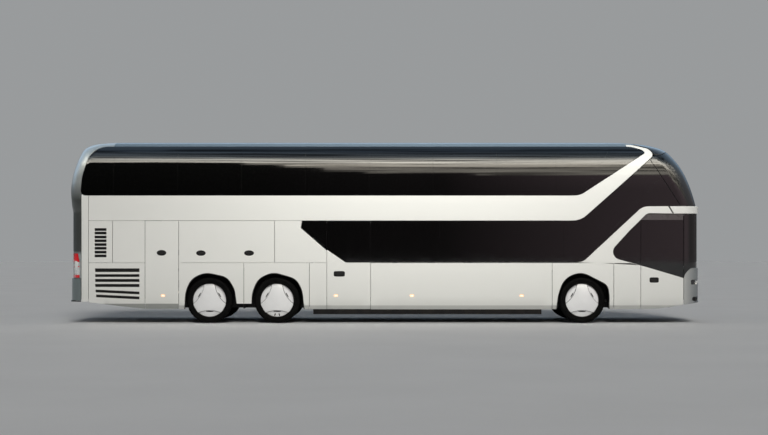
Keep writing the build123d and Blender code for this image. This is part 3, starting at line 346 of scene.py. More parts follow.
class Form:
    """A body surface in two coordinates: s along the plan outline (equal to x on the flat side), v up the wall."""

    def __init__(self, nose=None, r_nose=None, tail=None, r_tail=None, grow=0.0):
        self.over = (nose, r_nose, tail, r_tail)
        self.grow = grow

    def params(self, v):
        v = np.asarray(v, float)
        z = np.where(v <= UPRIGHT_TOP, v, np.interp(v, LUT_V, LUT[:, 0]))
        cols = [np.interp(v, LUT_V, LUT[:, k]) for k in range(1, 6)]
        w, xf, rf, xr, rr = cols
        nose, r_nose, tail, r_tail = self.over
        if nose is not None:
            xf, rf = xf * 0 + nose, rf * 0 + r_nose
        if tail is not None:
            xr, rr = xr * 0 + tail, rr * 0 + r_tail
        inset = np.clip((CREASE_Z - v) / (CREASE_Z - SKIRT_Z), 0, 1.6) * TUCK - self.grow
        return z, w - inset, xf - inset, np.maximum(rf - inset, 1e-5), xr + inset, np.maximum(rr - inset, 1e-5)

    def stations(self, v):
        z, w, xf, rf, xr, rr = self.params(v)
        wf, wr = np.maximum(w - rf, 0), np.maximum(w - rr, 0)
        kf = np.sqrt((CROWN_F - rf) ** 2 - wf**2)
        kr = np.sqrt((CROWN_R - rr) ** 2 - wr**2)
        cf0, cr0 = xf - CROWN_F, xr + CROWN_R
        tf, tr = np.arctan2(wf, kf), np.arctan2(wr, kr)
        f1, r1 = cf0 + kf, cr0 - kr
        f2, r2 = f1 + rf * (PI / 2 - tf), r1 - rr * (PI / 2 - tr)
        return dict(z=z, w=w, xf=xf, rf=rf, xr=xr, rr=rr, cf0=cf0, cr0=cr0, tf=tf, tr=tr, f1=f1, f2=f2, f3=f2 + CROWN_F * tf,
                    r1=r1, r2=r2, r3=r2 - CROWN_R * tr)

    def at(self, s, v):
        s, v = np.broadcast_arrays(np.asarray(s, float), np.asarray(v, float))
        p = self.stations(v)
        sign = np.where((s > p["f3"]) | (s < p["r3"]), 1.0, -1.0)
        q = np.where(s > p["f3"], 2 * p["f3"] - s, np.where(s < p["r3"], 2 * p["r3"] - s, s))
        x, h = q.copy(), p["w"] + 0 * q
        phi = PI / 2 - (q - p["f1"]) / p["rf"]
        m = q > p["f1"]
        x = np.where(m, p["f1"] + p["rf"] * np.cos(phi), x)
        h = np.where(m, p["w"] - p["rf"] + p["rf"] * np.sin(phi), h)
        th = p["tf"] - (q - p["f2"]) / CROWN_F
        m = q > p["f2"]
        x = np.where(m, p["cf0"] + CROWN_F * np.cos(th), x)
        h = np.where(m, CROWN_F * np.sin(th), h)
        phi = PI / 2 - (p["r1"] - q) / p["rr"]
        m = q < p["r1"]
        x = np.where(m, p["r1"] - p["rr"] * np.cos(phi), x)
        h = np.where(m, p["w"] - p["rr"] + p["rr"] * np.sin(phi), h)
        th = p["tr"] - (p["r2"] - q) / CROWN_R
        m = q < p["r2"]
        x = np.where(m, p["cr0"] - CROWN_R * np.cos(th), x)
        h = np.where(m, CROWN_R * np.sin(th), h)
        return np.stack([x, sign * h, p["z"]], axis=-1)

    def normal(self, s, v):
        e = 0.0015
        v0, v1 = np.maximum(np.asarray(v) - e, 0.05), np.minimum(np.asarray(v) + e, V_MAX)
        ds = self.at(np.asarray(s) + e, v) - self.at(np.asarray(s) - e, v)
        dv = self.at(s, v1) - self.at(s, v0)
        n = np.cross(ds, dv)
        length = np.linalg.norm(n, axis=-1, keepdims=True)
        n = np.where(length > 1e-12, n / np.maximum(length, 1e-12), np.array([0, 0, 1.0]))
        top = np.asarray(v) > V_MAX - 0.25
        return np.where(top[..., None], np.array([0, 0, 1.0]), n) if np.ndim(top) else n

    def s_of_x(self, x, v):
        """The station s where the right half of the outline at v has this x; past an end it is the centre line."""
        x, v = np.broadcast_arrays(np.asarray(x, float), np.asarray(v, float))
        p = self.stations(v)
        s = x.copy()
        xc = p["f1"] + p["rf"] * np.cos(p["tf"])
        phi = np.arccos(np.clip((x - p["f1"]) / p["rf"], 0, 1))
        s = np.where(x > p["f1"], p["f1"] + p["rf"] * (PI / 2 - phi), s)
        th = np.arccos(np.clip((x - p["cf0"]) / CROWN_F, -1, 1))
        s = np.where(x > xc, p["f2"] + CROWN_F * (p["tf"] - th), s)
        xc = p["r1"] - p["rr"] * np.cos(p["tr"])
        phi = np.arccos(np.clip((p["r1"] - x) / p["rr"], 0, 1))
        s = np.where(x < p["r1"], p["r1"] - p["rr"] * (PI / 2 - phi), s)
        th = np.arccos(np.clip((p["cr0"] - x) / CROWN_R, -1, 1))
        s = np.where(x < xc, p["r2"] - CROWN_R * (p["tr"] - th), s)
        return s


BODY = Form()
MASK_FORM = Form(7.000, 0.370)
SCREEN_BAND_FORM = Form(7.000, 0.380)
BUMPER_FORM = Form(tail=-6.980, r_tail=0.260)
LIP_FORM = Form(tail=-7.000, r_tail=0.260)


# ================================================================ outlines
def rounded(rows):
    """Corner points with radii (x, z, r) in millimetres to a dense loop in metres."""
    pts = [np.array(r[:2], float) / 1000 for r in rows]
    rad = [(r[2] if len(r) > 2 else 0) / 1000 for r in rows]
    out = []
    n = len(pts)
    for i in range(n):
        p, a, b = pts[i], pts[i - 1], pts[(i + 1) % n]
        r = rad[i]
        u, w = a - p, b - p
        lu, lw = np.linalg.norm(u), np.linalg.norm(w)
        u, w = u / lu, w / lw
        cosang = float(np.clip(np.dot(u, w), -1, 1))
        ang = math.acos(cosang)
        if r < 0.002 or ang > PI - 0.01:
            out.append(p)
            continue
        cut = min(r / math.tan(ang / 2), 0.49 * lu, 0.49 * lw)
        r = cut * math.tan(ang / 2)
        t0, t1 = p + u * cut, p + w * cut
        centre = p + (u + w) / np.linalg.norm(u + w) * math.hypot(cut, r)
        a0 = math.atan2(*(t0 - centre)[::-1])
        a1 = math.atan2(*(t1 - centre)[::-1])
        da = (a1 - a0 + PI) % (2 * PI) - PI
        k = max(2, int(math.ceil(abs(da) / 0.16)))
        for j in range(k + 1):
            t = a0 + da * j / k
            out.append(centre + r * np.array([math.cos(t), math.sin(t)]))
    return out


def rect_mm(x0, x1, z0, z1, r=4):
    return [(x0, z0, r), (x1, z0, r), (x1, z1, r), (x0, z1, r)]


def area2(loop):
    p = np.asarray(loop)
    q = np.roll(p, -1, axis=0)
    return float(np.sum(p[:, 0] * q[:, 1] - q[:, 0] * p[:, 1])) / 2


def clean(loop, eps=2e-4):
    """Drops repeated points and spikes."""
    pts = [tuple(p) for p in loop]
    changed = True
    while changed and len(pts) > 3:
        changed = False
        out = []
        for p in pts:
            if out and math.dist(out[-1], p) < eps:
                changed = True
                continue
            out.append(p)
        if len(out) > 1 and math.dist(out[0], out[-1]) < eps:
            out.pop()
            changed = True
        pts = out
        n = len(pts)
        for i in range(n):
            a, b, c = pts[i - 1], pts[i], pts[(i + 1) % n]
            ux, uy, wx, wy = a[0] - b[0], a[1] - b[1], c[0] - b[0], c[1] - b[1]
            lu, lw = math.hypot(ux, uy), math.hypot(wx, wy)
            if (ux * wx + uy * wy) > 0.99995 * lu * lw:
                pts.pop(i)
                changed = True
                break
    return np.array(pts)


def side_loop(rows, form=BODY, step=0.10, done=False):
    """A side-view outline laid on the surface: a loop in (s, v)."""
    pts = rows if done else rounded(rows)

    def sv(p):
        v = float(np.clip(v_of_z(p[1]), 0.05, V_MAX))
        return np.array([float(form.s_of_x(p[0], v)), v])

    out = []

    def split(p, q, a, b, depth):
        limit = step if max(abs(a[0]), abs(b[0])) < 6.3 and max(a[1], b[1]) < 2.5 else 0.04
        if depth > 11 or math.dist(a, b) < limit:
            return
        m = (np.asarray(p) + np.asarray(q)) / 2
        c = sv(m)
        split(p, m, a, c, depth + 1)
        out.append(c)
        split(m, q, c, b, depth + 1)

    n = len(pts)
    for i in range(n):
        p, q = pts[i], pts[(i + 1) % n]
        a, b = sv(p), sv(q)
        out.append(a)
        split(p, q, a, b, 0)
    return clean(out)


def densify(loop, step):
    out = []
    n = len(loop)
    for i in range(n):
        a, b = np.asarray(loop[i], float), np.asarray(loop[(i + 1) % n], float)
        k = max(1, int(math.ceil(np.linalg.norm(b - a) / step)))
        for j in range(k):
            out.append(a + (b - a) * j / k)
    return clean(out)


def offset_loop(loop, d):
    """Each point moved by d to the left of the way round, mitred."""
    p = np.asarray(loop)
    a, c = np.roll(p, 1, axis=0), np.roll(p, -1, axis=0)
    e0, e1 = p - a, c - p
    e0 /= np.maximum(np.linalg.norm(e0, axis=1, keepdims=True), 1e-9)
    e1 /= np.maximum(np.linalg.norm(e1, axis=1, keepdims=True), 1e-9)
    n0, n1 = np.stack([-e0[:, 1], e0[:, 0]], 1), np.stack([-e1[:, 1], e1[:, 0]], 1)
    m = n0 + n1
    scale = 2.0 / np.maximum(np.sum(m * m, axis=1, keepdims=True), 0.8)
    return p + m * scale * d, m / np.maximum(np.linalg.norm(m, axis=1, keepdims=True), 1e-9)


def inside(points, loop):
    """Even-odd test of many points against one loop."""
    x, y = points[:, 0][:, None], points[:, 1][:, None]
    p = np.asarray(loop)
    q = np.roll(p, -1, axis=0)
    cross = ((p[:, 1] > y) != (q[:, 1] > y)) & (
        x < (q[:, 0] - p[:, 0]) * (y - p[:, 1]) / np.where(q[:, 1] == p[:, 1], 1e-12, q[:, 1] - p[:, 1]) + p[:, 0])
    return np.sum(cross, axis=1) % 2 == 1


def near(points, loop, d):
    """True where a point lies closer than d to a loop."""
    p = np.asarray(loop)
    q = np.roll(p, -1, axis=0)
    e = q - p
    ee = np.maximum(np.sum(e * e, axis=1), 1e-12)
    out = np.zeros(len(points), bool)
    for k in range(0, len(points), 2000):
        a = points[k:k + 2000, None, :] - p[None]
        t = np.clip(np.sum(a * e[None], axis=2) / ee, 0, 1)
        r = a - t[..., None] * e[None]
        out[k:k + 2000] = np.min(np.sum(r * r, axis=2), axis=1) < d * d
    return out


def body_lines(lo, hi):
    """Grid stations along s: coarse on the flat side, fine round the corners."""
    out, s = [], -9.0
    while s < 9.0:
        out.append(s)
        a = abs(s)
        s += 0.22 if a < 5.0 else (0.06 if a < 6.4 else (0.03 if a < 7.25 else 0.09))
    return [t for t in out if lo - 0.3 < t < hi + 0.3]


def wall_lines(lo, hi):
    out = list(np.arange(0.18, 0.42, 0.06)) + [0.42] + list(np.arange(0.60, 2.40, 0.20)) + [2.408] + list(np.arange(2.445, V_MAX, 0.037))
    return [t for t in out if lo - 0.3 < t < hi + 0.3]


COL = bpy.context.scene.collection


def new_object(name, verts, faces, normals=None, mats=(), face_mats=None, smooth=True):
    me = bpy.data.meshes.new(name)
    me.from_pydata([tuple(v) for v in verts], [], [tuple(int(i) for i in f) for f in faces])
    for m in mats:
        me.materials.append(m)
    if face_mats is not None:
        me.polygons.foreach_set("material_index", np.asarray(face_mats, dtype=np.int32))
    if smooth:
        me.polygons.foreach_set("use_smooth", np.ones(len(me.polygons), bool))
    me.update()
    if normals is not None:
        me.normals_split_custom_set_from_vertices([tuple(n) for n in normals])
    o = bpy.data.objects.new(name, me)
    COL.objects.link(o)
    return o


class Shape:
    """Vertices, faces, normals and material numbers gathered for one object."""

    def __init__(self):
        self.v, self.f, self.n, self.m = [], [], [], []
        self.count = 0

    def add(self, v, f, n, m=0):
        v, n = np.asarray(v, float), np.asarray(n, float)
        self.v.append(v)
        self.n.append(n)
        for face in f:
            self.f.append([i + self.count for i in face])
            self.m.append(m)
        self.count += len(v)
        return self

    def mirrored(self):
        """The same pieces on the other side of the middle plane."""
        out = Shape()
        flip = np.array([1, -1, 1.0])
        out.v = [v * flip for v in self.v]
        out.n = [n * flip for n in self.n]
        out.f = [list(reversed(f)) for f in self.f]
        out.m = list(self.m)
        out.count = self.count
        return out

    def join(self, other):
        self.v += other.v
        self.n += other.n
        for face in other.f:
            self.f.append([i + self.count for i in face])
        self.m += other.m
        self.count += other.count
        return self

    def moved(self, fn, nfn=None):
        out = Shape()
        out.v = [fn(v) for v in self.v]
        out.n = [nfn(n) if nfn else n for n in self.n]
        out.f, out.m, out.count = [list(f) for f in self.f], list(self.m), self.count
        return out

    def build(self, name, mats):
        return new_object(name, np.concatenate(self.v), self.f, np.concatenate(self.n), mats, self.m)


def patch(shape, loops, at, normal, s_lines, v_lines, depth=0.03, edge=0.004, sink=0.0, mat=0, back_mat=None, wrap=False, cut=None):
    """A panel laid on a surface: chamfered edges, side walls and a back, closed.

    loops: outer loop first, then holes, in surface coordinates. at, normal: surface functions.
    wrap: the loop's points on the middle plane are left open there, and the mirror image is welded on."""
    loops = [np.asarray(l) for l in loops if len(l) > 2]
    loops = [l if (area2(l) > 0) == (i == 0) else l[::-1] for i, l in enumerate(loops)]
    pts, edges, rings = [], [], []
    mids = []
    for loop in loops:
        pos = at(loop[:, 0], loop[:, 1])
        mid = np.abs(pos[:, 1]) < 1e-4 if wrap else np.zeros(len(loop), bool)
        inner, out_dir = offset_loop(loop, edge)
        if wrap:       # on the middle plane the ring follows the plane
            k = np.where(mid)[0]
            inner[k] = loop[k]
            for i in k:
                for j in (i - 1, (i + 1) % len(loop)):
                    if not mid[j]:
                        # the end of the middle run: step along the plane by the chamfer
                        other = loop[(i + 1) % len(loop)] if j == i - 1 or (i == 0 and j == -1) else loop[i - 1]
                        run = other - loop[i]
                        length = np.linalg.norm(run)
                        if length > 2 * edge:
                            inner[i] = loop[i] + run / length * edge
        base = len(pts)
        n = len(loop)
        pts += [tuple(p) for p in loop] + [tuple(p) for p in inner]
        for i in range(n):
            j = (i + 1) % n
            edges.append((base + i, base + j))
            if not (mid[i] and mid[j]):
                edges.append((base + n + i, base + n + j))
        rings.append((base, n, mid, out_dir))
    ringed = len(pts)
    allp = np.concatenate(loops)
    lo, hi = allp.min(axis=0), allp.max(axis=0)
    ss = [s for s in s_lines(lo[0], hi[0]) if lo[0] < s < hi[0]]
    vv = [v for v in v_lines(lo[1], hi[1]) if lo[1] < v < hi[1]]
    if ss and vv:
        gs, gv = np.meshgrid(ss, vv)
        grid = np.stack([gs.ravel(), gv.ravel()], 1)
        keep = inside(grid, loops[0])
        for h in loops[1:]:
            keep &= ~inside(grid, h)
        grid = grid[keep]
        for l in loops:
            if len(grid):
                grid = grid[~near(grid, l, edge + 0.011)]
        pts += [tuple(p) for p in grid]
    res = delaunay_2d_cdt([Vector(p) for p in pts], edges, [], 0, 1e-7)
    rv, rf, orig = res[0], res[2], res[3]
    P = np.array([tuple(p) for p in rv])
    cent = np.array([P[list(f)].mean(axis=0) for f in rf])
    keep = inside(cent, loops[0])
    for h in loops[1:]:
        keep &= ~inside(cent, h)
    faces = [list(f) for f, k in zip(rf, keep) if k]
    outer = np.zeros(len(P), bool)
    away = np.zeros((len(P), 2))
    for i, src in enumerate(orig):
        for j in src:
            for base, n, mid, out_dir in rings:
                if base <= j < base + n and not mid[j - base]:
                    outer[i] = True
                    away[i] = -out_dir[j - base]
    if wrap:
        pos0 = at(P[:, 0], P[:, 1])
        onmid = np.abs(pos0[:, 1]) < 1e-4
    pos = at(P[:, 0], P[:, 1])
    nrm = normal(P[:, 0], P[:, 1])
    if wrap:
        nrm[onmid, 1] = 0
        nrm /= np.maximum(np.linalg.norm(nrm, axis=1, keepdims=True), 1e-9)
        pos[onmid, 1] = 0
    if cut is not None:
        pos, nrm = cut(pos, nrm)
    top = pos - nrm * (sink + np.where(outer, edge, 0.0))[:, None]
    low = pos - nrm * (sink + depth)
    # in-plane way out, for the edge's shading
    e = 0.002
    ta = (at(P[:, 0] + away[:, 0] * e, P[:, 1] + away[:, 1] * e) - at(P[:, 0] - away[:, 0] * e, P[:, 1] - away[:, 1] * e))
    ta /= np.maximum(np.linalg.norm(ta, axis=1, keepdims=True), 1e-9)
    top_n = nrm.copy()
    top_n[outer] = nrm[outer] + 0.7 * ta[outer]
    top_n /= np.maximum(np.linalg.norm(top_n, axis=1, keepdims=True), 1e-9)
    # winding: outward
    good = []
    for f in faces:
        a, b, c = pos[f[0]], pos[f[1]], pos[f[2]]
        if np.dot(np.cross(b - a, c - a), nrm[f[0]]) < 0:
            f = f[::-1]
        good.append(f)
    used = sorted({i for f in good for i in f})
    remap = {u: k for k, u in enumerate(used)}
    good = [[remap[i] for i in f] for f in good]
    top, low, nrm, top_n, outer_u, ta = top[used], low[used], nrm[used], top_n[used], outer[used], ta[used]
    count = {}
    for f in good:
        for i in range(3):
            a, b = f[i], f[(i + 1) % 3]
            count[(a, b)] = count.get((a, b), 0) + 1
    border = [(a, b) for (a, b) in count if (b, a) not in count]
    if wrap:
        mid_u = np.abs(top[:, 1]) < 1e-5
        border = [(a, b) for a, b in border if not (mid_u[a] and mid_u[b])]
    n = len(top)
    bm = mat if back_mat is None else back_mat

    def emit(sh, flip):
        k = np.array([1, -1, 1.0]) if flip else np.ones(3)
        turn = (lambda f: f[::-1]) if flip else (lambda f: f)
        sh.add(top * k, [turn(f) for f in good], top_n * k, mat)
        sh.add(low * k, [turn(f[::-1]) for f in good], -nrm * k, bm)
        idx = sorted({i for e2 in border for i in e2})
        r = {u: i for i, u in enumerate(idx)}
        side_v = np.concatenate([top[idx], low[idx]]) * k
        side_n = np.concatenate([ta[idx], ta[idx]]) * k
        m = len(idx)
        sh.add(side_v, [turn([r[b], r[a], r[a] + m, r[b] + m]) for a, b in border], side_n, mat)

    emit(shape, False)
    if wrap:
        emit(shape, True)
    return shape


def body_panel(shape, rows, holes=(), form=BODY, **kw):
    """A panel from a side-view outline in millimetres."""
    loops = [side_loop(rows, form)] + [side_loop(h, form) for h in holes]
    return patch(shape, loops, form.at, form.normal, body_lines, wall_lines, **kw)


def finish_piece(o, body, replaces=()):
    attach(o, body)
    if replaces:
        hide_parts(*replaces)
    return o


# ---- outlines, as in the construction. columns: x, z, corner radius
UPPER_PANE = [(-6685, 2797, 110), (4255, 2797, 400), (5722, 3747, 30), (5640, 3818, 200), (5400, 3890, 500), (-6465, 3890, 700), (-6655, 3200, 900)]
BAND_OUTER = [(-6502, 2248, 3), (4272, 2248, 470), (5905, 3697, 90), (5790, 3838, 160), (5430, 3932, 400), (-5988, 3932, 3), (-5988, 3860, 3),
              (-6300, 3300, 3), (-6502, 2900, 3)]
LOWER_PANE = [(-1823, 2242, 20), (-1847, 2085, 60), (-865, 1328, 150), (4306, 1328, 330), (5632, 2565, 300), (6455, 2569, 3), (5803, 3592, 3), (4280, 2242, 470)]
PILLAR_BAND = [(4175, 1329, 3), (4345, 1358, 200), (5636, 2558, 300), (6453, 2558, 3), (6521, 2402, 3), (6521, 2000, 3), (5430, 1329, 3)]
FRONT_PANE = [(4842, 1472, 172), (5590, 1268, 900), (6527, 990, 4), (6527, 2396, 4), (5735, 2406, 130), (5345, 2025, 800)]
FRONT_ARCH = [(3736, 200, 3), (3766, 593, 900), (3904, 978, 430), (4280, 1139, 405), (4876, 835, 225), (4909, 583, 430), (4897, 200, 3)]
DRIVE_ARCH = [(-2946, 200, 3), (-2929, 664, 600), (-2801, 971, 365), (-2475, 1127, 435), (-1961, 978, 325), (-1818, 729, 590), (-1769, 200, 3)]
TAG_ARCH = [(-4410, 200, 3), (-4389, 704, 650), (-4252, 982, 400), (-3951, 1119, 460), (-3460, 1013, 320), (-3303, 745, 415), (-3228, 200, 3)]
G = 4.8


def grow_rows(rows, by):
    """An outline offset outward, as a dense list of x, z."""
    loop = np.array(rounded(rows)) * 1000
    if area2(loop) < 0:
        loop = loop[::-1]
    out, _ = offset_loop(loop, -by)
    return [(p[0], p[1], 0) for p in out]


def clip_rows(rows, x0, x1):
    """The part of an outline between two stations."""
    pts = [np.array(p) * 1000 for p in rounded(rows)] if len(rows[0]) > 2 else rows
    for bound, sign in ((x0, 1), (x1, -1)):
        out = []
        n = len(pts)
        for i in range(n):
            a, b = pts[i - 1], pts[i]
            ina, inb = sign * (a[0] - bound) >= 0, sign * (b[0] - bound) >= 0
            if ina != inb:
                t = (bound - a[0]) / (b[0] - a[0])
                out.append(a + (b - a) * t)
            if inb:
                out.append(b)
        pts = out
    return [(p[0], p[1], 0) for p in pts]


def arch_line(arch_rows, z_rear, z_front):
    """The part of an arch above the panel's lower edge, which may differ behind and ahead of it (mm)."""
    arch = np.array(rounded(arch_rows)) * 1000
    peak = int(np.argmax(arch[:, 1]))
    rise, fall = arch[:peak + 1], arch[peak + 1:]
    x_rear = float(np.interp(z_rear, rise[:, 1], rise[:, 0]))
    x_front = float(np.interp(z_front, fall[::-1, 1], fall[::-1, 0]))
    line = [(x_rear, z_rear)] + [tuple(p) for p in rise if p[1] > z_rear + 2] + [tuple(p) for p in fall if p[1] > z_front + 2]
    return line + [(x_front, z_front)]


def union_bottom(x0, x1, z_rear, z_front, z_top, arch_rows):
    """A panel outline with an arch taken out of its lower edge: one loop, arch points walked instead of the edge."""
    line = arch_line(arch_rows, z_rear, z_front)
    return [(x0, z_rear, 0)] + [(x, z, 0) for x, z in line] + [(x1, z_front, 0), (x1, z_top, 0), (x0, z_top, 0)]


def oval(x, z, a, b, k=40, power=2.0):
    out = []
    for i in range(k):
        t = 2 * PI * i / k
        c, s = math.cos(t), math.sin(t)
        out.append((x + a * abs(c) ** (2 / power) * (1 if c > 0 else -1), z + b * abs(s) ** (2 / power) * (1 if s > 0 else -1), 0))
    return out


def handle(shape, x, z, a, b, power, mat):
    """A cup let into the panel, with a pull bar across its upper half."""
    body_panel(shape, oval(x, z, a + 5, b + 5, power=power), depth=0.006, sink=0.030, edge=0.002, mat=mat)
    body_panel(shape, oval(x, z, a + 6, b + 6, power=power), [oval(x, z, a - 5, b - 5, power=power)], depth=0.028, sink=0.001, edge=0.003, mat=mat)
    body_panel(shape, oval(x, z + b * 0.12, a * 0.86, b * 0.42, power=power), depth=0.010, sink=0.010, edge=0.005, mat=mat)


MARKER_A, MARKER_B = 50, 30       # half sizes of a side marker lamp, mm
MARKER_Z = 605


def marker(shape, x, rim, lens, reflector):
    """A side marker lamp let flush into the panel: amber rim, clear dome, bright back."""
    a, b = MARKER_A, MARKER_B
    body_panel(shape, oval(x, MARKER_Z, a + 4, b + 4, power=2.6), depth=0.006, sink=0.026, edge=0.002, mat=reflector)
    body_panel(shape, oval(x, MARKER_Z, a - 1, b - 1, power=2.6), [oval(x, MARKER_Z, a - 11, b - 10, power=2.6)], depth=0.022, sink=0.0015, edge=0.003, mat=rim)
    body_panel(shape, oval(x, MARKER_Z, a - 10.5, b - 9.5, power=2.6), depth=0.008, sink=0.0030, edge=0.003, mat=lens)


# ================================================================ side panels
PLAIN = [   # rear x, front x, bottom, top
    (-6664, -6505, 470, 2794), (-6505, -5979, 1325, 2242), (-5979, -5268, 1325, 2242), (-1669, -1286, 306, 1319), (-329, 3649, 300, 1319),
]
ARCHED = [   # rear x, front x, bottom behind the arch, bottom ahead of it, arch
    (-4531, -3104, 306, 427, TAG_ARCH), (-3104, -1669, 427, 306, DRIVE_ARCH), (3649, 4999, 306, 306, FRONT_ARCH),
]
UPPER_LOUVRES = [(-6372, -6112, z) for z in (2050, 1973, 1886, 1804, 1721, 1640, 1555, 1473)]
# rear x, front x, z at the rear, z at the front, height
LOWER_LOUVRES = [(-6361, -5390, 1160, 1160, 80), (-6361, -5390, 1042, 1042, 60), (-6361, -5390, 935, 935, 65), (-6361, -5390, 826, 824, 66),
                 (-6352, -5390, 706, 660, 60), (-6340, -5390, 598, 552, 60)]
LOUVRE_H = 60
PANEL_MARKERS = (578, 2982)
SLANT_R = [(-2430 + G, 1325, 4), (-1286 - G, 1325, 4), (-1286 - G, 1592, 4), (-1858, 2082, 40), (-1834, 2242, 4), (-2430 + G, 2242, 4)]
SLANT_L = [(-2430 + G, 1325, 4), (-875, 1325, 30), (-1858, 2082, 40), (-1834, 2242, 4), (-2430 + G, 2242, 4)]
FOOT = [(4999 + G, 306, 4), (5590 - G, 306, 4), (5590 - G, 1262, 3), (5450, 1306, 40), (5380, 1319, 4), (4999 + G, 1319, 4)]
DRIVER_PANEL = [(5590 + G, 306, 4), (5975, 320, 40), (6270, 360, 40), (6523, 405, 4), (6523, 983, 4), (5590 + G, 1260, 4)]


def louvre_slats(shape, a, b, za, zb, height, mat):
    """Blade behind a louvre opening, falling away inward, and a dark screen behind it."""
    y0, y1 = -1.262, -1.226
    x0, x1 = a / 1000 - 0.01, b / 1000 + 0.01
    prof = [(y0, 0.5 * height / 1000 + 0.001), (y1, -0.1 * height / 1000), (y1, -0.1 * height / 1000 - 0.004), (y0, 0.5 * height / 1000 - 0.004)]
    v = [(x, y, z / 1000 + zz) for x, z in ((x0, za), (x1, zb)) for y, zz in prof]
    w = [(x, -1.215, z / 1000 + zz) for x, z, zz in ((x0, za, -0.045), (x1, zb, -0.045), (x1, zb, 0.045), (x0, za, 0.045))]
    shape.add(np.array(w), [[0, 1, 2, 3]], np.tile([0, -1.0, 0], (4, 1)), mat)
    faces = [[0, 1, 5, 4], [1, 2, 6, 5], [2, 3, 7, 6], [3, 0, 4, 7], [3, 2, 1, 0], [4, 5, 6, 7]]
    for f in faces:
        p = np.array([v[i] for i in f])
        n = np.cross(p[1] - p[0], p[2] - p[0])
        n /= np.linalg.norm(n)
        c = np.array(v).mean(axis=0)
        if np.dot(n, p.mean(axis=0) - c) < 0:
            n, p = -n, p[::-1]
        shape.add(p, [[0, 1, 2, 3]], np.tile(n, (4, 1)), mat)


def box(shape, x0, x1, y0, y1, z0, z1, bevel=0.004, mat=0):
    """A block with chamfered edges, each face flat-shaded."""
    x0, x1, y0, y1, z0, z1 = min(x0, x1), max(x0, x1), min(y0, y1), max(y0, y1), min(z0, z1), max(z0, z1)
    b = min(bevel, 0.45 * min(x1 - x0, y1 - y0, z1 - z0))
    lo, hi = np.array([x0, y0, z0]), np.array([x1, y1, z1])
    c = (lo + hi) / 2
    corner = {}
    for sx in (0, 1):
        for sy in (0, 1):
            for sz in (0, 1):
                s = np.array([sx, sy, sz])
                p = np.where(s == 0, lo, hi).astype(float)
                d = np.where(s == 0, 1.0, -1.0) * b
                for axis in range(3):
                    q = p + d
                    q[axis] = p[axis]
                    corner[(sx, sy, sz, axis)] = q

    def put(keys):
        p = np.array([corner[k] for k in keys])
        n = np.cross(p[1] - p[0], p[2] - p[0])
        length = np.linalg.norm(n)
        if length < 1e-14:
            return
        n /= length
        if np.dot(n, p.mean(axis=0) - c) < 0:
            n, p = -n, p[::-1]
        shape.add(p, [list(range(len(p)))], np.tile(n, (len(p), 1)), mat)

    ring = [(0, 0), (1, 0), (1, 1), (0, 1)]
    for axis in range(3):
        for side in (0, 1):
            keys = []
            for a, d in ring:
                s = [a, d]
                s.insert(axis, side)
                keys.append((*s, axis))
            put(keys)
    for axis in range(3):          # edges along this axis
        o1, o2 = [i for i in range(3) if i != axis]
        for a, d in ring:
            keys = []
            for t, face in ((0, o1), (1, o1), (1, o2), (0, o2)):
                s = [0, 0, 0]
                s[axis], s[o1], s[o2] = t, a, d
                keys.append((*s, face))
            put(keys)
    for sx in (0, 1):
        for sy in (0, 1):
            for sz in (0, 1):
                put([(sx, sy, sz, 0), (sx, sy, sz, 1), (sx, sy, sz, 2)])


def walk(loop, a, b, back=False):
    """Points of a dense loop (counter-clockwise) from the one nearest a to the one nearest b."""
    pts = [np.array(p[:2], float) for p in loop]
    if back:
        pts = pts[::-1]
    ia = min(range(len(pts)), key=lambda i: math.dist(pts[i], a))
    ib = min(range(len(pts)), key=lambda i: math.dist(pts[i], b))
    if ib < ia:
        ib += len(pts)
    return [(pts[i % len(pts)][0], pts[i % len(pts)][1], 0) for i in range(ia, ib + 1)]


UPPER_EDGE = grow_rows(UPPER_PANE, 3.5)


def side_panels(side):
    sh = Shape()
    for x0, x1, z0, z1 in PLAIN:
        if x0 == -6664:       # the corner strip rises to the rounded corner of the upper glass
            path = walk(UPPER_EDGE, (-6560, 2793.5), (-6664, 2850), back=True)
            path = [p for p in path if p[0] > -6655 and p[1] < 2858]
            rows = [(-6664 + G, 470, 4), (-6505 - G, 470, 4), (-6505 - G, 2793.5, 0)] + path + [(-6647, path[-1][1], 0), (-6664 + G, 2806, 0)]
            body_panel(sh, rows, depth=0.034)
            continue
        holes = [rect_mm(a, b, z - LOUVRE_H / 2, z + LOUVRE_H / 2, 5) for a, b, z in UPPER_LOUVRES] if x0 == -6505 else []
        marks = [x for x in PANEL_MARKERS if x0 < x < x1]
        holes += [oval(x, MARKER_Z, MARKER_A, MARKER_B, power=2.6) for x in marks]
        body_panel(sh, rect_mm(x0 + G, x1 - G, z0, z1), holes, depth=0.034)
        for x in marks:
            marker(sh, x, 2, 3, 4)
    for x0, x1, z_rear, z_front, arch in ARCHED:
        body_panel(sh, union_bottom(x0 + G, x1 - G, z_rear, z_front, 1319, arch), depth=0.034)
    body_panel(sh, SLANT_R if side == "right" else SLANT_L, depth=0.034)
    body_panel(sh, FOOT, depth=0.034)
    if side == "left":
        body_panel(sh, rect_mm(-1286 + G, -329 - G, 306, 1319), [oval(-1088, MARKER_Z, MARKER_A, MARKER_B, power=2.6)], depth=0.034)
        marker(sh, -1088, 2, 3, 4)
        body_panel(sh, DRIVER_PANEL, depth=0.034)
    for a, b, z in UPPER_LOUVRES:
        louvre_slats(sh, a, b, z, z, LOUVRE_H, 1)
    return sh if side == "right" else sh.mirrored()


for side in ("right", "left"):
    o = side_panels(side).build(f"side_skin_{side}", [WHITE, PLASTIC, AMBER, LENS, WARM])
    finish_piece(o, "body", [f"side_panels_{side}"])
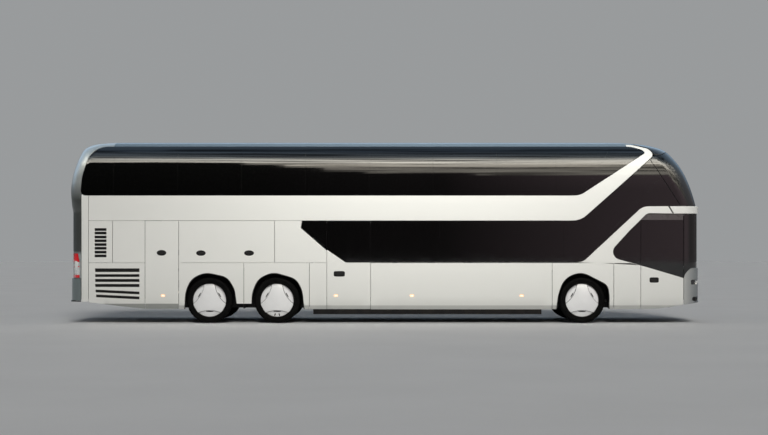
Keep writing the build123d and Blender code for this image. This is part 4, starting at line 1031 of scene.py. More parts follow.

# ================================================================ white band round the upper glass, and the roof-painted strip over it
STRIP_X = (-5988, 5322)      # the narrow strip over the glass is painted as the roof
outer = [tuple(1000 * c for c in p) for p in rounded(BAND_OUTER)]
outer = outer[:min(range(len(outer)), key=lambda i: math.dist(outer[i], (STRIP_X[0], 3932)))]
inner = [p for p in walk(UPPER_EDGE, (5400, 3893), (-6600, 2793), back=True) if p[0] > outer[0][0]]
band_loop = [(x, z, 0) for x, z in outer] + [(STRIP_X[1], 3932, 0), (STRIP_X[1], 3893.5, 0)] + inner + [(outer[0][0], 2793.5, 0)]
sh = Shape()
body_panel(sh, band_loop, depth=0.034)
body_panel(sh, rect_mm(STRIP_X[0], STRIP_X[1] - 0.8, 3880, 3932, 0), [UPPER_EDGE], depth=0.034, mat=1)
sh.join(sh.mirrored())
finish_piece(sh.build("belt_band", [WHITE, ROOF_PAINT]), "body", ["upper_side_band"])

# ================================================================ roof, front roof cap, rear cap
sh = Shape()
body_panel(sh, [(-5990, 3940, 0), (5432, 3940, 300), (5496, 3931, 0), (5496, 5400, 0), (-5990, 5400, 0)], depth=0.03, wrap=True)
finish_piece(sh.build("roof_skin", [ROOF_PAINT]), "body", ["roof"])

sh = Shape()
body_panel(sh, [(5504, 3938, 0), (5800, 3846, 120), (5912, 3706, 60), (6060, 3702, 0), (6222, 3778, 0), (6600, 3905, 0), (6600, 5400, 0), (5504, 5400, 0)],
           depth=0.03, wrap=True)
finish_piece(sh.build("roof_front_cap", [BLACK]), "body", ["front_roof_cap"])


def split_path(points, sv, limit):
    """An open path through the points, each run divided on the surface."""
    out = []

    def split(p, q, a, b, depth):
        if depth > 11 or math.dist(a, b) < limit:
            return
        m = (p + q) / 2
        c = sv(m)
        split(p, m, a, c, depth + 1)
        out.append(c)
        split(m, q, c, b, depth + 1)

    pts = [np.array(p[:2], float) / 1000 for p in points]
    for i in range(len(pts)):
        a = sv(pts[i])
        out.append(a)
        if i + 1 < len(pts):
            split(pts[i], pts[i + 1], a, sv(pts[i + 1]), 0)
    return [tuple(p) for p in out]


def side_path(points, form=BODY):
    """(x, z) millimetres in the side view."""
    def sv(p):
        v = float(np.clip(v_of_z(p[1]), 0.05, V_MAX))
        return np.array([float(form.s_of_x(p[0], v)), v])
    return split_path(points, sv, 0.05)


def end_path(points, end, form=BODY):
    """(distance from the middle to the right, z) millimetres, seen from an end."""
    def sv(p):
        h, v = max(0.0, p[0]), float(v_of_z(p[1]))
        q = form.stations(v)
        if end == "front":
            if h <= CROWN_F * math.sin(q["tf"]):
                s = q["f3"] - CROWN_F * math.asin(h / CROWN_F)
            else:
                s = q["f1"] + q["rf"] * (PI / 2 - math.asin(min(1.0, (h - (q["w"] - q["rf"])) / q["rf"])))
        else:
            if h <= CROWN_R * math.sin(q["tr"]):
                s = q["r3"] + CROWN_R * math.asin(h / CROWN_R)
            else:
                s = q["r1"] - q["rr"] * (PI / 2 - math.asin(min(1.0, (h - (q["w"] - q["rr"])) / q["rr"])))
        return np.array([float(s), v])
    return split_path(points, sv, 0.05)


def mid_path(z0, z1, end, form=BODY):
    """Up or down the middle of an end wall, z in millimetres."""
    v0, v1 = float(np.clip(v_of_z(z0 / 1000), 0, V_MAX)), float(np.clip(v_of_z(z1 / 1000), 0, V_MAX))
    n = max(1, int(abs(v1 - v0) / 0.06))
    vs = np.linspace(v0, v1, n + 1)
    p = form.stations(vs)
    return [(float(s), float(v)) for s, v in zip(p["f3"] if end == "front" else p["r3"], vs)]


def corner(rows):
    """Dense rounded corners of an open or closed list of (a, b, r), in millimetres."""
    return [tuple(p * 1000) for p in np.array(rounded(rows))]


def surface_patch(shape, loop, form=BODY, holes=(), **kw):
    return patch(shape, [clean(loop)] + [clean(h) for h in holes], form.at, form.normal, body_lines, wall_lines, **kw)


def end_patch(shape, rows, end, form=BODY, **kw):
    """A piece drawn in (y, z) on an end wall, on the right half only."""
    pts = corner(rows)
    return surface_patch(shape, end_path(pts + [pts[0]], end, form), form, **kw)


FRONT_EDGE = grow_rows(FRONT_PANE, 3.5)
WINDOW_Y, WINDOW_Z = 900, (2860, 3480)
LID_Y, LID_Z = 930, (990, 2140)

# ---- rear cap: the silver frame round the tail, with the window, lid and lamp openings
LAMP = [(-6703, 990), (-6703, 1350), (-6740, 1530)]


def rear_cap_loop():
    lamp_side = [(-6744, 1534), (-6706, 1352), (-6699, 1340), (-6699, 984)]
    p = end_path([(934, 984), (1036, 984), (1036, 1534)], "rear")
    p += side_path([(-6764, 1534)] + lamp_side + [(-6670, 984), (-6670, 2840)])
    p += side_path(walk(UPPER_EDGE, (-6676, 2850), (-5996, 3893.5), back=True) + [(-5996, 3896), (-5996, 5400)])
    p += mid_path(5400, WINDOW_Z[1], "rear")
    w = corner([(-300, WINDOW_Z[0], 0), (WINDOW_Y, WINDOW_Z[0], 90), (WINDOW_Y, WINDOW_Z[1], 90), (-300, WINDOW_Z[1], 0)])
    p += end_path([(0, WINDOW_Z[1])] + [q for q in w[::-1] if q[0] > 0] + [(0, WINDOW_Z[0])], "rear")
    p += mid_path(WINDOW_Z[0], LID_Z[1], "rear")
    p += end_path([(0, LID_Z[1]), (LID_Y, LID_Z[1]), (934, 984)], "rear")
    return p


sh = Shape()
surface_patch(sh, rear_cap_loop(), depth=0.034, wrap=True)
finish_piece(sh.build("tail_frame", [SILVER_TAIL]), "body", ["rear_cap"])

# ---- tail lamps: red at the top and bottom, clear with a red stripe between
sh = Shape()
back = Shape()
for z0, z1, mat in ((1338, 1526, 0), (1250, 1334, 1), (1228, 1246, 0), (1060, 1224, 1), (994, 1056, 0)):
    def lamp_x(z):
        return -6707 if z <= 1350 else -6707 - (z - 1350) / 180 * 37
    p = end_path([(1040, z0), (1040, z1)], "rear")
    p += side_path([(lamp_x(z1) - 3, z1), (lamp_x(z0) - 3, z0)])
    surface_patch(sh, p, depth=0.012, edge=0.003, sink=0.002, mat=mat)
p = end_path([(1038, 992), (1038, 1530)], "rear") + side_path([(-6745, 1530), (-6705, 1345), (-6703, 992)])
surface_patch(back, p, depth=0.012, edge=0.002, sink=0.026)
sh.join(sh.mirrored())
back.join(back.mirrored())
lamp_glass = sh.build("tail_lamp_lenses", [RED_LENS, LENS])
finish_piece(lamp_glass, "body", ["tail_lamps"])
lamp_back = back.build("tail_lamp_reflectors", [LAMP_BACK])
finish_piece(lamp_back, "body")

# ---- engine lid with its grille, and the mesh behind the grille
sh = Shape()
grille = []
for k in range(9):
    z = 1250 + 78 * k
    grille.append(end_path([(70, z - 20), (800, z - 20), (800, z + 20), (70, z + 20), (70, z - 20)], "rear"))
p = mid_path(LID_Z[1] - 6, LID_Z[0] + 6, "rear") + end_path([(0, LID_Z[0] + 6), (LID_Y - 8, LID_Z[0] + 6), (LID_Y - 8, LID_Z[1] - 6), (0, LID_Z[1] - 6)], "rear")
surface_patch(sh, p, holes=grille, depth=0.034, wrap=True)
slats = Shape()
p = mid_path(2050, 1190, "rear") + end_path([(0, 1190), (840, 1190), (840, 2050), (0, 2050)], "rear")
surface_patch(slats, p, depth=0.006, sink=0.042, edge=0.002, wrap=True)
o = sh.build("engine_lid_skin", [SILVER])
finish_piece(o, "engine_lid", ["engine_lid"])
finish_piece(slats.build("engine_lid_mesh", [PLASTIC]), "engine_lid")

# ---- bumper and its lower lip
sh = Shape()
plate = [(0, 560), (270, 560), (270, 700), (0, 700)]
p = side_path([(-7100, 498), (-6673, 498), (-6673, 978), (-7100, 978)], BUMPER_FORM) + mid_path(978, 700, "rear", BUMPER_FORM)
p += end_path([(0, 700), (270, 700), (270, 560), (0, 560)], "rear", BUMPER_FORM) + mid_path(560, 498, "rear", BUMPER_FORM)
surface_patch(sh, p, BUMPER_FORM, depth=0.034, wrap=True)
p = side_path([(-7100, 470), (-6673, 470), (-6673, 495), (-7100, 495)], LIP_FORM)
surface_patch(sh, p, LIP_FORM, depth=0.034, wrap=True, mat=1)
p = mid_path(712, 548, "rear", BUMPER_FORM) + end_path([(0, 548), (282, 548), (282, 712), (0, 712)], "rear", BUMPER_FORM)
surface_patch(sh, p, BUMPER_FORM, depth=0.010, sink=0.030, wrap=True, mat=1)
finish_piece(sh.build("bumper_skin", [BUMPER_PAINT, PLASTIC]), "body", ["rear_bumper"])

# ================================================================ glass
UPPER_SPLITS = [-9000, -5960, -4560, -3160, -1760, -360, 1040, 2440, 3740, 9000]
LOWER_SPLITS = [-9000, 1180, 2560, 3900, 9000]


def clip_line(rows, a, b):
    """The part of an outline to the left of the line from a to b."""
    pts = [np.array(p[:2], float) for p in rows]
    d = np.array([b[0] - a[0], b[1] - a[1]], float)
    side = lambda p: d[0] * (p[1] - a[1]) - d[1] * (p[0] - a[0])
    out = []
    for i in range(len(pts)):
        p, q = pts[i - 1], pts[i]
        sp, sq = side(p), side(q)
        if (sp >= 0) != (sq >= 0):
            out.append(p + (q - p) * (sp / (sp - sq)))
        if sq >= 0:
            out.append(q)
    return [(p[0], p[1], 0) for p in out]


def dense(rows):
    return [(p[0] * 1000, p[1] * 1000, 0) for p in rounded(rows)]


def glass_run(sh, rows, splits, slants=()):
    """One long pane outline cut into panes, with hairline joints."""
    parts = []
    for a, b in zip(splits[:-1], splits[1:]):
        piece = clip_rows([np.array(p[:2], float) for p in rows], a + 0.8, b - 0.8)
        if len(piece) > 2:
            parts.append(piece)
    for (a, b) in slants:
        new = []
        for piece in parts:
            shift = np.array([0.8, 0])
            left = clip_line(piece, np.array(a) - shift, np.array(b) - shift)
            right = clip_line(piece, np.array(b) + shift, np.array(a) + shift)
            new += [q for q in (left, right) if len(q) > 2 and abs(area2(np.array(q)[:, :2])) > 2000]
        parts = new
    for piece in parts:
        body_panel(sh, piece, depth=0.009, sink=0.0015, edge=0.0008)


sh = Shape()
glass_run(sh, dense(UPPER_PANE), UPPER_SPLITS, [((4300, 2790), (4860, 3700))])
sh.join(sh.mirrored())
p = mid_path(3476, 2864, "rear")
w = corner([(-300, 2864, 0), (896, 2864, 86), (896, 3476, 86), (-300, 3476, 0)])
p += end_path([(0, 2864)] + [q for q in w if q[0] > 0] + [(0, 3476)], "rear")
surface_patch(sh, p, depth=0.009, sink=0.0015, edge=0.002, wrap=True)
finish_piece(sh.build("upper_glass", [GLASS]), "body", ["upper_windows"])


def lower_pane(side):
    sh = Shape()
    rows = dense(LOWER_PANE)
    if side == "right":
        left = clip_rows([np.array(p[:2]) for p in rows], -9000, -1286 - 3)
        body_panel(sh, left, depth=0.009, sink=0.0015, edge=0.002)
        rows = clip_rows([np.array(p[:2]) for p in rows], -329 + 3, 9000)
    glass_run(sh, rows, LOWER_SPLITS, [((4330, 1320), (5160, 2245))])
    quarter = clip_rows([np.array(p[:2]) for p in dense(FRONT_PANE)], 0, 5590 - 3)
    body_panel(sh, quarter, depth=0.009, sink=0.0015, edge=0.002)
    if side == "left":
        body_panel(sh, clip_rows([np.array(p[:2]) for p in dense(FRONT_PANE)], 5590 + 3, 6523), depth=0.009, sink=0.0015, edge=0.002)
    return sh if side == "right" else sh.mirrored()


shade = Shape()
body_panel(shade, [(5600, 2386, 20), (5600, 2262, 4), (6515, 2262, 4), (6515, 2386, 4)], depth=0.0012, sink=0.0008, edge=0.0003)
finish_piece(shade.build("front_door_shade_film", [SHADE_FILM]), "front_door")
sh = Shape()
for k in range(44):          # feet of the window frame in the lower edge of the panes
    x = -1240 + 136 * k
    if not -1300 < x < -300 and x < 4700:
        body_panel(sh, [(x, 1352, 2), (x, 1336, 2), (x + 26, 1336, 2), (x + 26, 1352, 2)], depth=0.0012, sink=0.0008, edge=0.0003)
sh.join(sh.mirrored()).join(shade.mirrored())
finish_piece(sh.build("window_shade_film", [SHADE_FILM]), "body")
sh = lower_pane("right").join(lower_pane("left"))
finish_piece(sh.build("lower_glass", [GLASS]), "body", ["lower_windows"])

UPPER_SCREEN = [(5920, 3695), (5816, 3592), (6466, 2575), (7200, 2575), (7200, 3896), (6500, 3889), (6225, 3767), (6062, 3691)]
sh = Shape()
surface_patch(sh, side_path(UPPER_SCREEN + UPPER_SCREEN[:1]), depth=0.010, sink=0.0015, edge=0.003, wrap=True)
finish_piece(sh.build("upper_screen_glass", [GLASS]), "body", ["upper_windscreen"])
LOWER_SCREEN = [(6534, 1004), (6553, 1077), (6609, 1145), (6686, 1205), (6745, 1219), (7200, 1218), (7200, 2396), (6534, 2396)]
sh = Shape()
surface_patch(sh, side_path(LOWER_SCREEN + LOWER_SCREEN[:1]), depth=0.010, sink=0.0015, edge=0.003, wrap=True)
finish_piece(sh.build("lower_screen_glass", [GLASS]), "body", ["lower_windscreen"])

# ================================================================ wipers
def strip_on_nose(shape, a, b, w0, w1, sink, depth, mat, form=BODY):
    """A straight bar on the nose between two (y, z) points, w0 and w1 wide at its ends."""
    (ya, za), (yb, zb) = a, b
    length = math.hypot(yb - ya, zb - za)
    ny, nz = -(zb - za) / length, (yb - ya) / length
    pts = [(ya + ny * w0, za + nz * w0), (ya - ny * w0, za - nz * w0), (yb - ny * w1, zb - nz * w1), (yb + ny * w1, zb + nz * w1)]
    surface_patch(shape, end_path(pts + pts[:1], "front", form), form, depth=depth, sink=sink, edge=0.001, mat=mat)


sh = Shape()
for pivot, tip, blade in (((240, 1262), (760, 1420), ((420, 1345), (1010, 1500))),):
    strip_on_nose(sh, pivot, tip, 11, 7, -0.006, 0.006, 0)
    strip_on_nose(sh, *blade, 5, 5, 0.0006, 0.005, 1)
sh.join(sh.mirrored())
finish_piece(sh.build("wipers", [PLASTIC, RUBBER]), "body")

# ================================================================ white pillar band and windscreen band
# the band ends at a slanted slot; past it the windscreen band wraps round the nose
SLOT_TOP, SLOT_LOW, SLOT_W = 6189, 6286, 34
band_left = dense([(4175, 1329, 3), (4345, 1358, 200), (5636, 2558, 300), (SLOT_TOP, 2561, 3), (SLOT_LOW, 2400, 3)])
band_rows = band_left + walk(FRONT_EDGE, (SLOT_LOW - 3, 2399.5), (5367, 1329))
sh = Shape()
body_panel(sh, band_rows, depth=0.034)
sh.join(sh.mirrored())
finish_piece(sh.build("pillar_band_skin", [WHITE]), "body", ["pillar_band"])
sh = Shape()
wrap_rows = [(SLOT_TOP + SLOT_W, 2562), (SLOT_LOW + SLOT_W, 2401), (7200, 2401), (7200, 2562)]
surface_patch(sh, side_path(wrap_rows + wrap_rows[:1], SCREEN_BAND_FORM), SCREEN_BAND_FORM, depth=0.030, edge=0.010, wrap=True)
slot = Shape()
body_panel(slot, [(SLOT_TOP - 14, 2566), (SLOT_LOW - 14, 2398), (SLOT_LOW + SLOT_W + 14, 2398), (SLOT_TOP + SLOT_W + 14, 2566)], depth=0.008, sink=0.024, mat=1)
slot.join(slot.mirrored())
sh.join(slot)
finish_piece(sh.build("screen_band_skin", [WHITE, SEAL]), "body", ["windscreen_band"])

# ================================================================ front mask
MASK = [(6533, 407), (6795, 440), (7200, 460), (7200, 1206), (6745, 1208), (6688, 1190), (6612, 1132), (6556, 1064), (6533, 990)]
HEADLAMP = [(620, 872, 14), (1240, 842, 14), (1240, 952, 20), (1000, 948, 60), (620, 925, 14)]
INTAKE = [(700, 486, 20), (1140, 452, 20), (1226, 500, 30), (1222, 575, 30), (760, 575, 30)]
GRILLE = [(0, 620, 0), (520, 632, 30), (560, 790, 30), (0, 800, 0)]
PLATE = [(0, 478, 0), (262, 478, 6), (262, 592, 6), (0, 592, 0)]
p = side_path([(7200, 460), (6795, 440), (6533, 407), (6533, 990), (6556, 1064), (6612, 1132), (6688, 1190), (6745, 1208), (7200, 1206)], MASK_FORM)
p += mid_path(1206, 800, "front", MASK_FORM)
g = corner([(-300, 620, 0), (520, 632, 30), (560, 790, 30), (-300, 800, 0)])
p += end_path([(0, 800)] + [q for q in g[::-1] if q[0] > 0] + [(0, 620)], "front", MASK_FORM)
p += mid_path(620, 460, "front", MASK_FORM)
hl = corner(HEADLAMP)
it = corner(INTAKE)
sh = Shape()
surface_patch(sh, p, MASK_FORM, holes=[end_path(hl + hl[:1], "front", MASK_FORM), end_path(it + it[:1], "front", MASK_FORM)], depth=0.034, wrap=True)
# dark backing behind the openings, and bars
p = mid_path(606, 814, "front", MASK_FORM) + end_path([(0, 814), (575, 806), (540, 612), (0, 606)], "front", MASK_FORM)
surface_patch(sh, p, MASK_FORM, depth=0.006, sink=0.044, edge=0.002, wrap=True, mat=1)
for z in (664, 710, 756):
    p = mid_path(z + 7, z - 7, "front", MASK_FORM) + end_path([(0, z - 7), (545, z - 7), (545, z + 7), (0, z + 7)], "front", MASK_FORM)
    surface_patch(sh, p, MASK_FORM, depth=0.020, sink=0.012, edge=0.003, wrap=True, mat=1)
half = Shape()
end_patch(half, [(690, 474, 20), (1150, 440, 20), (1240, 492, 30), (1236, 587, 30), (748, 587, 30)], "front", MASK_FORM, depth=0.006, sink=0.044, mat=1)
for z in (500, 532):
    end_patch(half, [(740, z - 5, 3), (1205, z - 5, 3), (1205, z + 5, 3), (740, z + 5, 3)], "front", MASK_FORM, depth=0.018, sink=0.014, edge=0.002, mat=1)
end_patch(half, [(606, 860, 14), (1256, 828, 14), (1256, 966, 20), (1000, 962, 60), (606, 938, 14)], "front", MASK_FORM, depth=0.006, sink=0.062, mat=1)
sh.join(half).join(half.mirrored())
finish_piece(sh.build("nose_mask", [SOFT_SILVER, PLASTIC]), "body", ["front_mask"])

# headlamps: clear cover on the skin, lamp units behind
sh = Shape()
end_patch(sh, [(624, 876, 12), (1160, 850, 3), (1160, 946, 3), (1000, 944, 58), (624, 921, 12)], "front", MASK_FORM, depth=0.004, sink=0.004, edge=0.002)
end_patch(sh, [(1163, 850, 3), (1236, 846, 12), (1236, 948, 18), (1163, 946, 3)], "front", MASK_FORM, depth=0.006, sink=0.004, edge=0.002, mat=1)
sh.join(sh.mirrored())
finish_piece(sh.build("headlamp_covers", [LENS, BLACK]), "body", ["headlamps"])


def disc(shape, centre, axis, r0, r1, profile, seg=32, mat=0):
    """A turned dish: profile is (radius, height along the axis) from the middle out."""
    c, a = np.array(centre, float), np.array(axis, float)
    a /= np.linalg.norm(a)
    u = np.cross(a, [0, 0, 1.0]) if abs(a[2]) < 0.9 else np.array([1.0, 0, 0])
    u /= np.linalg.norm(u)
    w = np.cross(a, u)
    v, n, f = [], [], []
    prof = list(profile)
    for i, (r, h) in enumerate(prof):
        r_a, h_a = prof[max(0, i - 1)]
        r_b, h_b = prof[min(len(prof) - 1, i + 1)]
        dr, dh = r_b - r_a, h_b - h_a
        length = math.hypot(dr, dh) or 1
        nr, nh = -dh / length, dr / length
        for j in range(seg):
            t = 2 * PI * j / seg
            e = u * math.cos(t) + w * math.sin(t)
            v.append(c + e * r + a * h)
            n.append(e * nr + a * nh)
    for i in range(len(prof) - 1):
        for j in range(seg):
            k = (j + 1) % seg
            f.append([i * seg + j, i * seg + k, (i + 1) * seg + k, (i + 1) * seg + j])
    f = [q[::-1] if np.dot(np.cross(v[q[1]] - v[q[0]], v[q[2]] - v[q[0]]), n[q[2]]) < 0 else q for q in f]
    shape.add(v, f, n, mat)


sh = Shape()
for y, z, r in ((1150, 897, 40), (1020, 902, 38), (895, 899, 36), (780, 897, 30)):
    q = end_path([(y, z)], "front", MASK_FORM)[0]
    pos, nrm = MASK_FORM.at(*q), MASK_FORM.normal(np.array([q[0]]), np.array([q[1]]))[0]
    face = np.array([0.93, -0.36 if y > 1100 else -0.10, 0.0])
    c = pos - nrm * 0.055
    r /= 1000
    disc(sh, c, face, 0, r, [(0.0005, 0.008), (r * 0.30, 0.006), (r * 0.42, 0.0), (r * 0.75, 0.010), (r * 0.96, 0.030), (r, 0.034), (r * 1.06, 0.034), (r * 1.08, 0.026), (r * 1.08, -0.004)], 40, 0)
sh.join(sh.mirrored())
drl = Shape()
end_patch(drl, [(640, 880, 3), (1225, 851, 3), (1225, 862, 3), (640, 890, 3)], "front", MASK_FORM, depth=0.010, sink=0.018, edge=0.002, mat=1)
end_patch(drl, [(760, 476, 3), (1140, 446, 3), (1205, 470, 8), (1205, 480, 8), (1140, 458, 3), (760, 488, 3)], "front", MASK_FORM, depth=0.012, sink=0.004, edge=0.002, mat=0)
drl.join(drl.mirrored())
sh.join(drl)
finish_piece(sh.build("headlamp_units", [CHROME, WARM]), "body")

# ================================================================ doors
def door(name, leaf_rows, pane_rows, post_x, arm_z, skin_name, grips, lamps=()):
    sh = Shape()
    body_panel(sh, leaf_rows, [oval(x, z, a, b, power=5.0) for x, z, a, b in grips] + [oval(x, MARKER_Z, MARKER_A, MARKER_B, power=2.6) for x in lamps], depth=0.034)
    for x, z, a, b in grips:
        handle(sh, x, z, a - 1, b - 1, 5.0, 1)
    for x in lamps:
        marker(sh, x, 2, 3, 4)
    inner = grow_rows(pane_rows, -60)
    outer = grow_rows(pane_rows, -2)
    body_panel(sh, outer, [inner], depth=0.030, sink=0.0150, edge=0.003, mat=1)
    pin_x = post_x - 500
    for z in arm_z:
        for dz in (-34, 22):
            box(sh, (pin_x - 25) / 1000, (pin_x + 25) / 1000, -1.240, -1.068, (z + dz) / 1000, (z + dz + 12) / 1000, 0.003, 1)
        disc(sh, (pin_x / 1000, -1.085, (z + 30) / 1000), (0, 0, 1), 0, 0.012, [(0.0005, 0.010), (0.009, 0.010), (0.012, 0.007), (0.012, 0.0), (0.010, -0.062)], 20, 1)
    o = sh.build(skin_name, [WHITE, PLASTIC, AMBER, LENS, WARM])
    finish_piece(o, name, [name])
    g = Shape()
    body_panel(g, pane_rows, depth=0.009, sink=0.0015, edge=0.002)
    finish_piece(g.build(f"{name}_pane", [GLASS]), name, [f"{name}_glass"])


FRONT_DOOR_PANE = clip_rows([np.array(p[:2]) for p in dense(FRONT_PANE)], 5590 + 3, 6523)
front_leaf = [(5590 + G, 306, 0), (5975, 320, 0), (6270, 360, 0), (6523, 405, 0), (6523, 986, 0)] + walk(FRONT_EDGE, (6515, 990), (5594, 1262), back=True)
front_leaf = [p for i, p in enumerate(front_leaf) if i < 5 or (p[0] <= 6523 and p[0] >= 5594)] + [(5590 + G, 1262, 0)]
MID_DOOR_PANE = [(-1283, 1612, 0), (-870, 1329, 90), (-332, 1329, 0), (-332, 2237, 12), (-1283, 2237, 12)]
mid_leaf = [(-1283, 306, 0), (-332, 306, 0), (-332, 1325, 0), (-870, 1325, 92), (-1283, 1607, 0)]
door("front_door", front_leaf, FRONT_DOOR_PANE, 6455, (820, 2358), "front_door_skin", [(5882, 945, 99, 56)])
door("mid_door", mid_leaf, MID_DOOR_PANE, -398, (820, 2200), "mid_door_skin", [(-1013, 1080, 120, 58)], [-1088])

# ================================================================ flaps
ENGINE_FLAP = [(-6505 + G, 458, 0), (-6180, 420, 0), (-5760, 366, 0), (-5268 - G, 312, 0), (-5268 - G, 1319, 0), (-6505 + G, 1319, 0)]
FLAPS = [
    ("luggage_flap", rect_mm(-4531 + G, -2430 - G, 1325, 2240), []),
    ("service_flap", rect_mm(-5268 + G, -4531 - G, 312, 2240), []),
    ("engine_flap", ENGINE_FLAP, [[(a, za - h / 2, 5), (b, zb - h / 2, 5), (b, zb + h / 2, 5), (a, za + h / 2, 5)] for a, b, za, zb, h in LOWER_LOUVRES]),
]
# recessed handles: oval on the flaps. columns: piece, x, z, half width, half height
OVALS = [("service_flap", -4906, 1540, 103, 60), ("luggage_flap", -4043, 1535, 102, 58), ("luggage_flap", -2990, 1535, 106, 58)]


for name, rows, holes in FLAPS:
    ovals = [(x, z, a, b) for n, x, z, a, b in OVALS if n == name]
    sh = Shape()
    lamps = [-4873] if name == "service_flap" else []
    body_panel(sh, rows, holes + [oval(x, z, a, b) for x, z, a, b in ovals] + [oval(x, MARKER_Z, MARKER_A, MARKER_B, power=2.6) for x in lamps], depth=0.034)
    for x in lamps:
        marker(sh, x, 2, 3, 4)
    for x, z, a, b in ovals:
        handle(sh, x, z, a - 1, b - 1, 2.0, 1)
    if name == "engine_flap":
        for a, b, za, zb, h in LOWER_LOUVRES:
            louvre_slats(sh, a, b, za, zb, h, 1)
    for side in ("right", "left"):
        o = (sh if side == "right" else sh.mirrored()).build(f"{name}_{side}_skin", [WHITE, PLASTIC, AMBER, LENS, WARM])
        finish_piece(o, f"{name}_{side}", [f"{name}_{side}"])

# ================================================================ turned parts, tyres, wheels
def lathe(shape, centre, axis, profile, seg=64, mat=0, sharp=0.5, shift=None):
    """A turned surface. profile: (radius, height along the axis); split where it turns sharply. shift(i, j) moves a ring point."""
    c, a = np.array(centre, float), np.array(axis, float)
    a /= np.linalg.norm(a)
    u = np.cross(a, [0, 0, 1.0]) if abs(a[2]) < 0.9 else np.array([1.0, 0, 0])
    u /= np.linalg.norm(u)
    w = np.cross(a, u)
    prof = np.array(profile, float)
    d = np.diff(prof, axis=0)
    length = np.maximum(np.hypot(d[:, 0], d[:, 1]), 1e-9)
    seg_n = np.stack([-d[:, 1] / length, d[:, 0] / length], 1)
    ang = 2 * PI * np.arange(seg) / seg
    e = np.cos(ang)[:, None] * u + np.sin(ang)[:, None] * w
    rows, run = [], [(0, seg_n[0])]
    for i in range(1, len(prof)):
        last = i == len(prof) - 1
        if last:
            run.append((i, seg_n[-1]))
        elif np.dot(seg_n[i - 1], seg_n[i]) < math.cos(sharp):
            run.append((i, seg_n[i - 1]))
            rows.append(run)
            run = [(i, seg_n[i])]
        else:
            m = seg_n[i - 1] + seg_n[i]
            run.append((i, m / np.linalg.norm(m)))
    rows.append(run)
    for run in rows:
        v, n, f = [], [], []
        for i, nr in run:
            r, h = prof[i]
            dr = np.zeros(seg) if shift is None else np.array([shift(r, h, j) for j in range(seg)])
            v.append(c + e * (r + dr)[:, None] + a * h)
            n.append(e * nr[0] + a * nr[1])
        v, n = np.concatenate(v), np.concatenate(n)
        for i in range(len(run) - 1):
            for j in range(seg):
                k = (j + 1) % seg
                f.append([i * seg + j, i * seg + k, (i + 1) * seg + k, (i + 1) * seg + j])
        q = f[len(f) // 2]
        nn = np.cross(v[q[1]] - v[q[0]], v[q[2]] - v[q[0]])
        if np.dot(nn, n[q[0]]) < 0:
            f = [x[::-1] for x in f]
        shape.add(v, f, n, mat)


AXLES = {"front": 4.312, "drive": -2.380, "tag": -3.862}
SINGLE_Y, TWIN_Y = 1.092, 0.772


def half_tyre():
    """Outer half of the section, from the bead out and over the tread to the middle. radius, distance from the tyre's middle."""
    return [(0.3665, 0.112), (0.3665, 0.124), (0.373, 0.1285), (0.384, 0.131), (0.400, 0.1352), (0.4005, 0.1378), (0.409, 0.1385), (0.4095, 0.1362),
            (0.425, 0.1420), (0.440, 0.1452), (0.4405, 0.1474), (0.447, 0.1474), (0.4475, 0.1450), (0.461, 0.1428), (0.474, 0.1362), (0.485, 0.1285),
            (0.4935, 0.1200), (0.4975, 0.1110), (0.4985, 0.0900), (0.4870, 0.0885), (0.4870, 0.0800), (0.4990, 0.0785), (0.4995, 0.0560), (0.4870, 0.0545),
            (0.4870, 0.0460), (0.5, 0.0445), (0.5, 0.0270), (0.4870, 0.0255), (0.4870, 0.0180), (0.5, 0.0165), (0.5, 0.0)]


def tyre(shape, x, y):
    half = half_tyre()
    prof = half + [(r, -h) for r, h in half[-2::-1]]
    prof.append((0.3665, 0.112))

    def lugs(r, h, j):
        if r > 0.4965:
            if abs(h) > 0.075 and j % 5 == 0:
                return -0.009
            if 0.03 < abs(h) < 0.075 and j % 5 == 2:
                return -0.004
        elif r > 0.484 and abs(h) > 0.10 and j % 5 == 0:
            return -0.005
        return 0.0
    lathe(shape, (x, y, 0.5), (0, 1, 0), prof, 170, 0, 0.55, lugs)


RIM = 0.3775
LOBES = [math.radians(a) for a in (30, 150, 270)]      # middles of the three sunk segments


def lobe_edge(alpha, off=0.0, n=22, reach=0.2575):
    """Curved boundary of a sunk segment, as (a, b) in the wheel's plane."""
    d, p = np.array([math.cos(alpha), math.sin(alpha)]), np.array([-math.sin(alpha), math.cos(alpha)])
    out = []
    for v in np.linspace(-reach, reach, n):
        slope = 1.7 * v
        nrm = (d - p * slope) / math.hypot(1, slope)
        out.append(d * (0.220 + 0.85 * v * v) + p * v + nrm * off)
    return out


def plane_oval(alpha, u, v, a, b, turn=0.0, n=20):
    """A small slot at distance u along the segment's middle line and v across it."""
    d, p = np.array([math.cos(alpha), math.sin(alpha)]), np.array([-math.sin(alpha), math.cos(alpha)])
    out = []
    for i in range(n):
        t = 2 * PI * i / n
        x, y = a * math.cos(t), b * math.sin(t)
        out.append(d * (u + x * math.cos(turn) - y * math.sin(turn)) + p * (v + x * math.sin(turn) + y * math.cos(turn)))
    return np.array(out)


def grid_lines(step):
    return lambda lo, hi: [t for t in np.arange(-0.42, 0.43, step) if lo < t < hi]


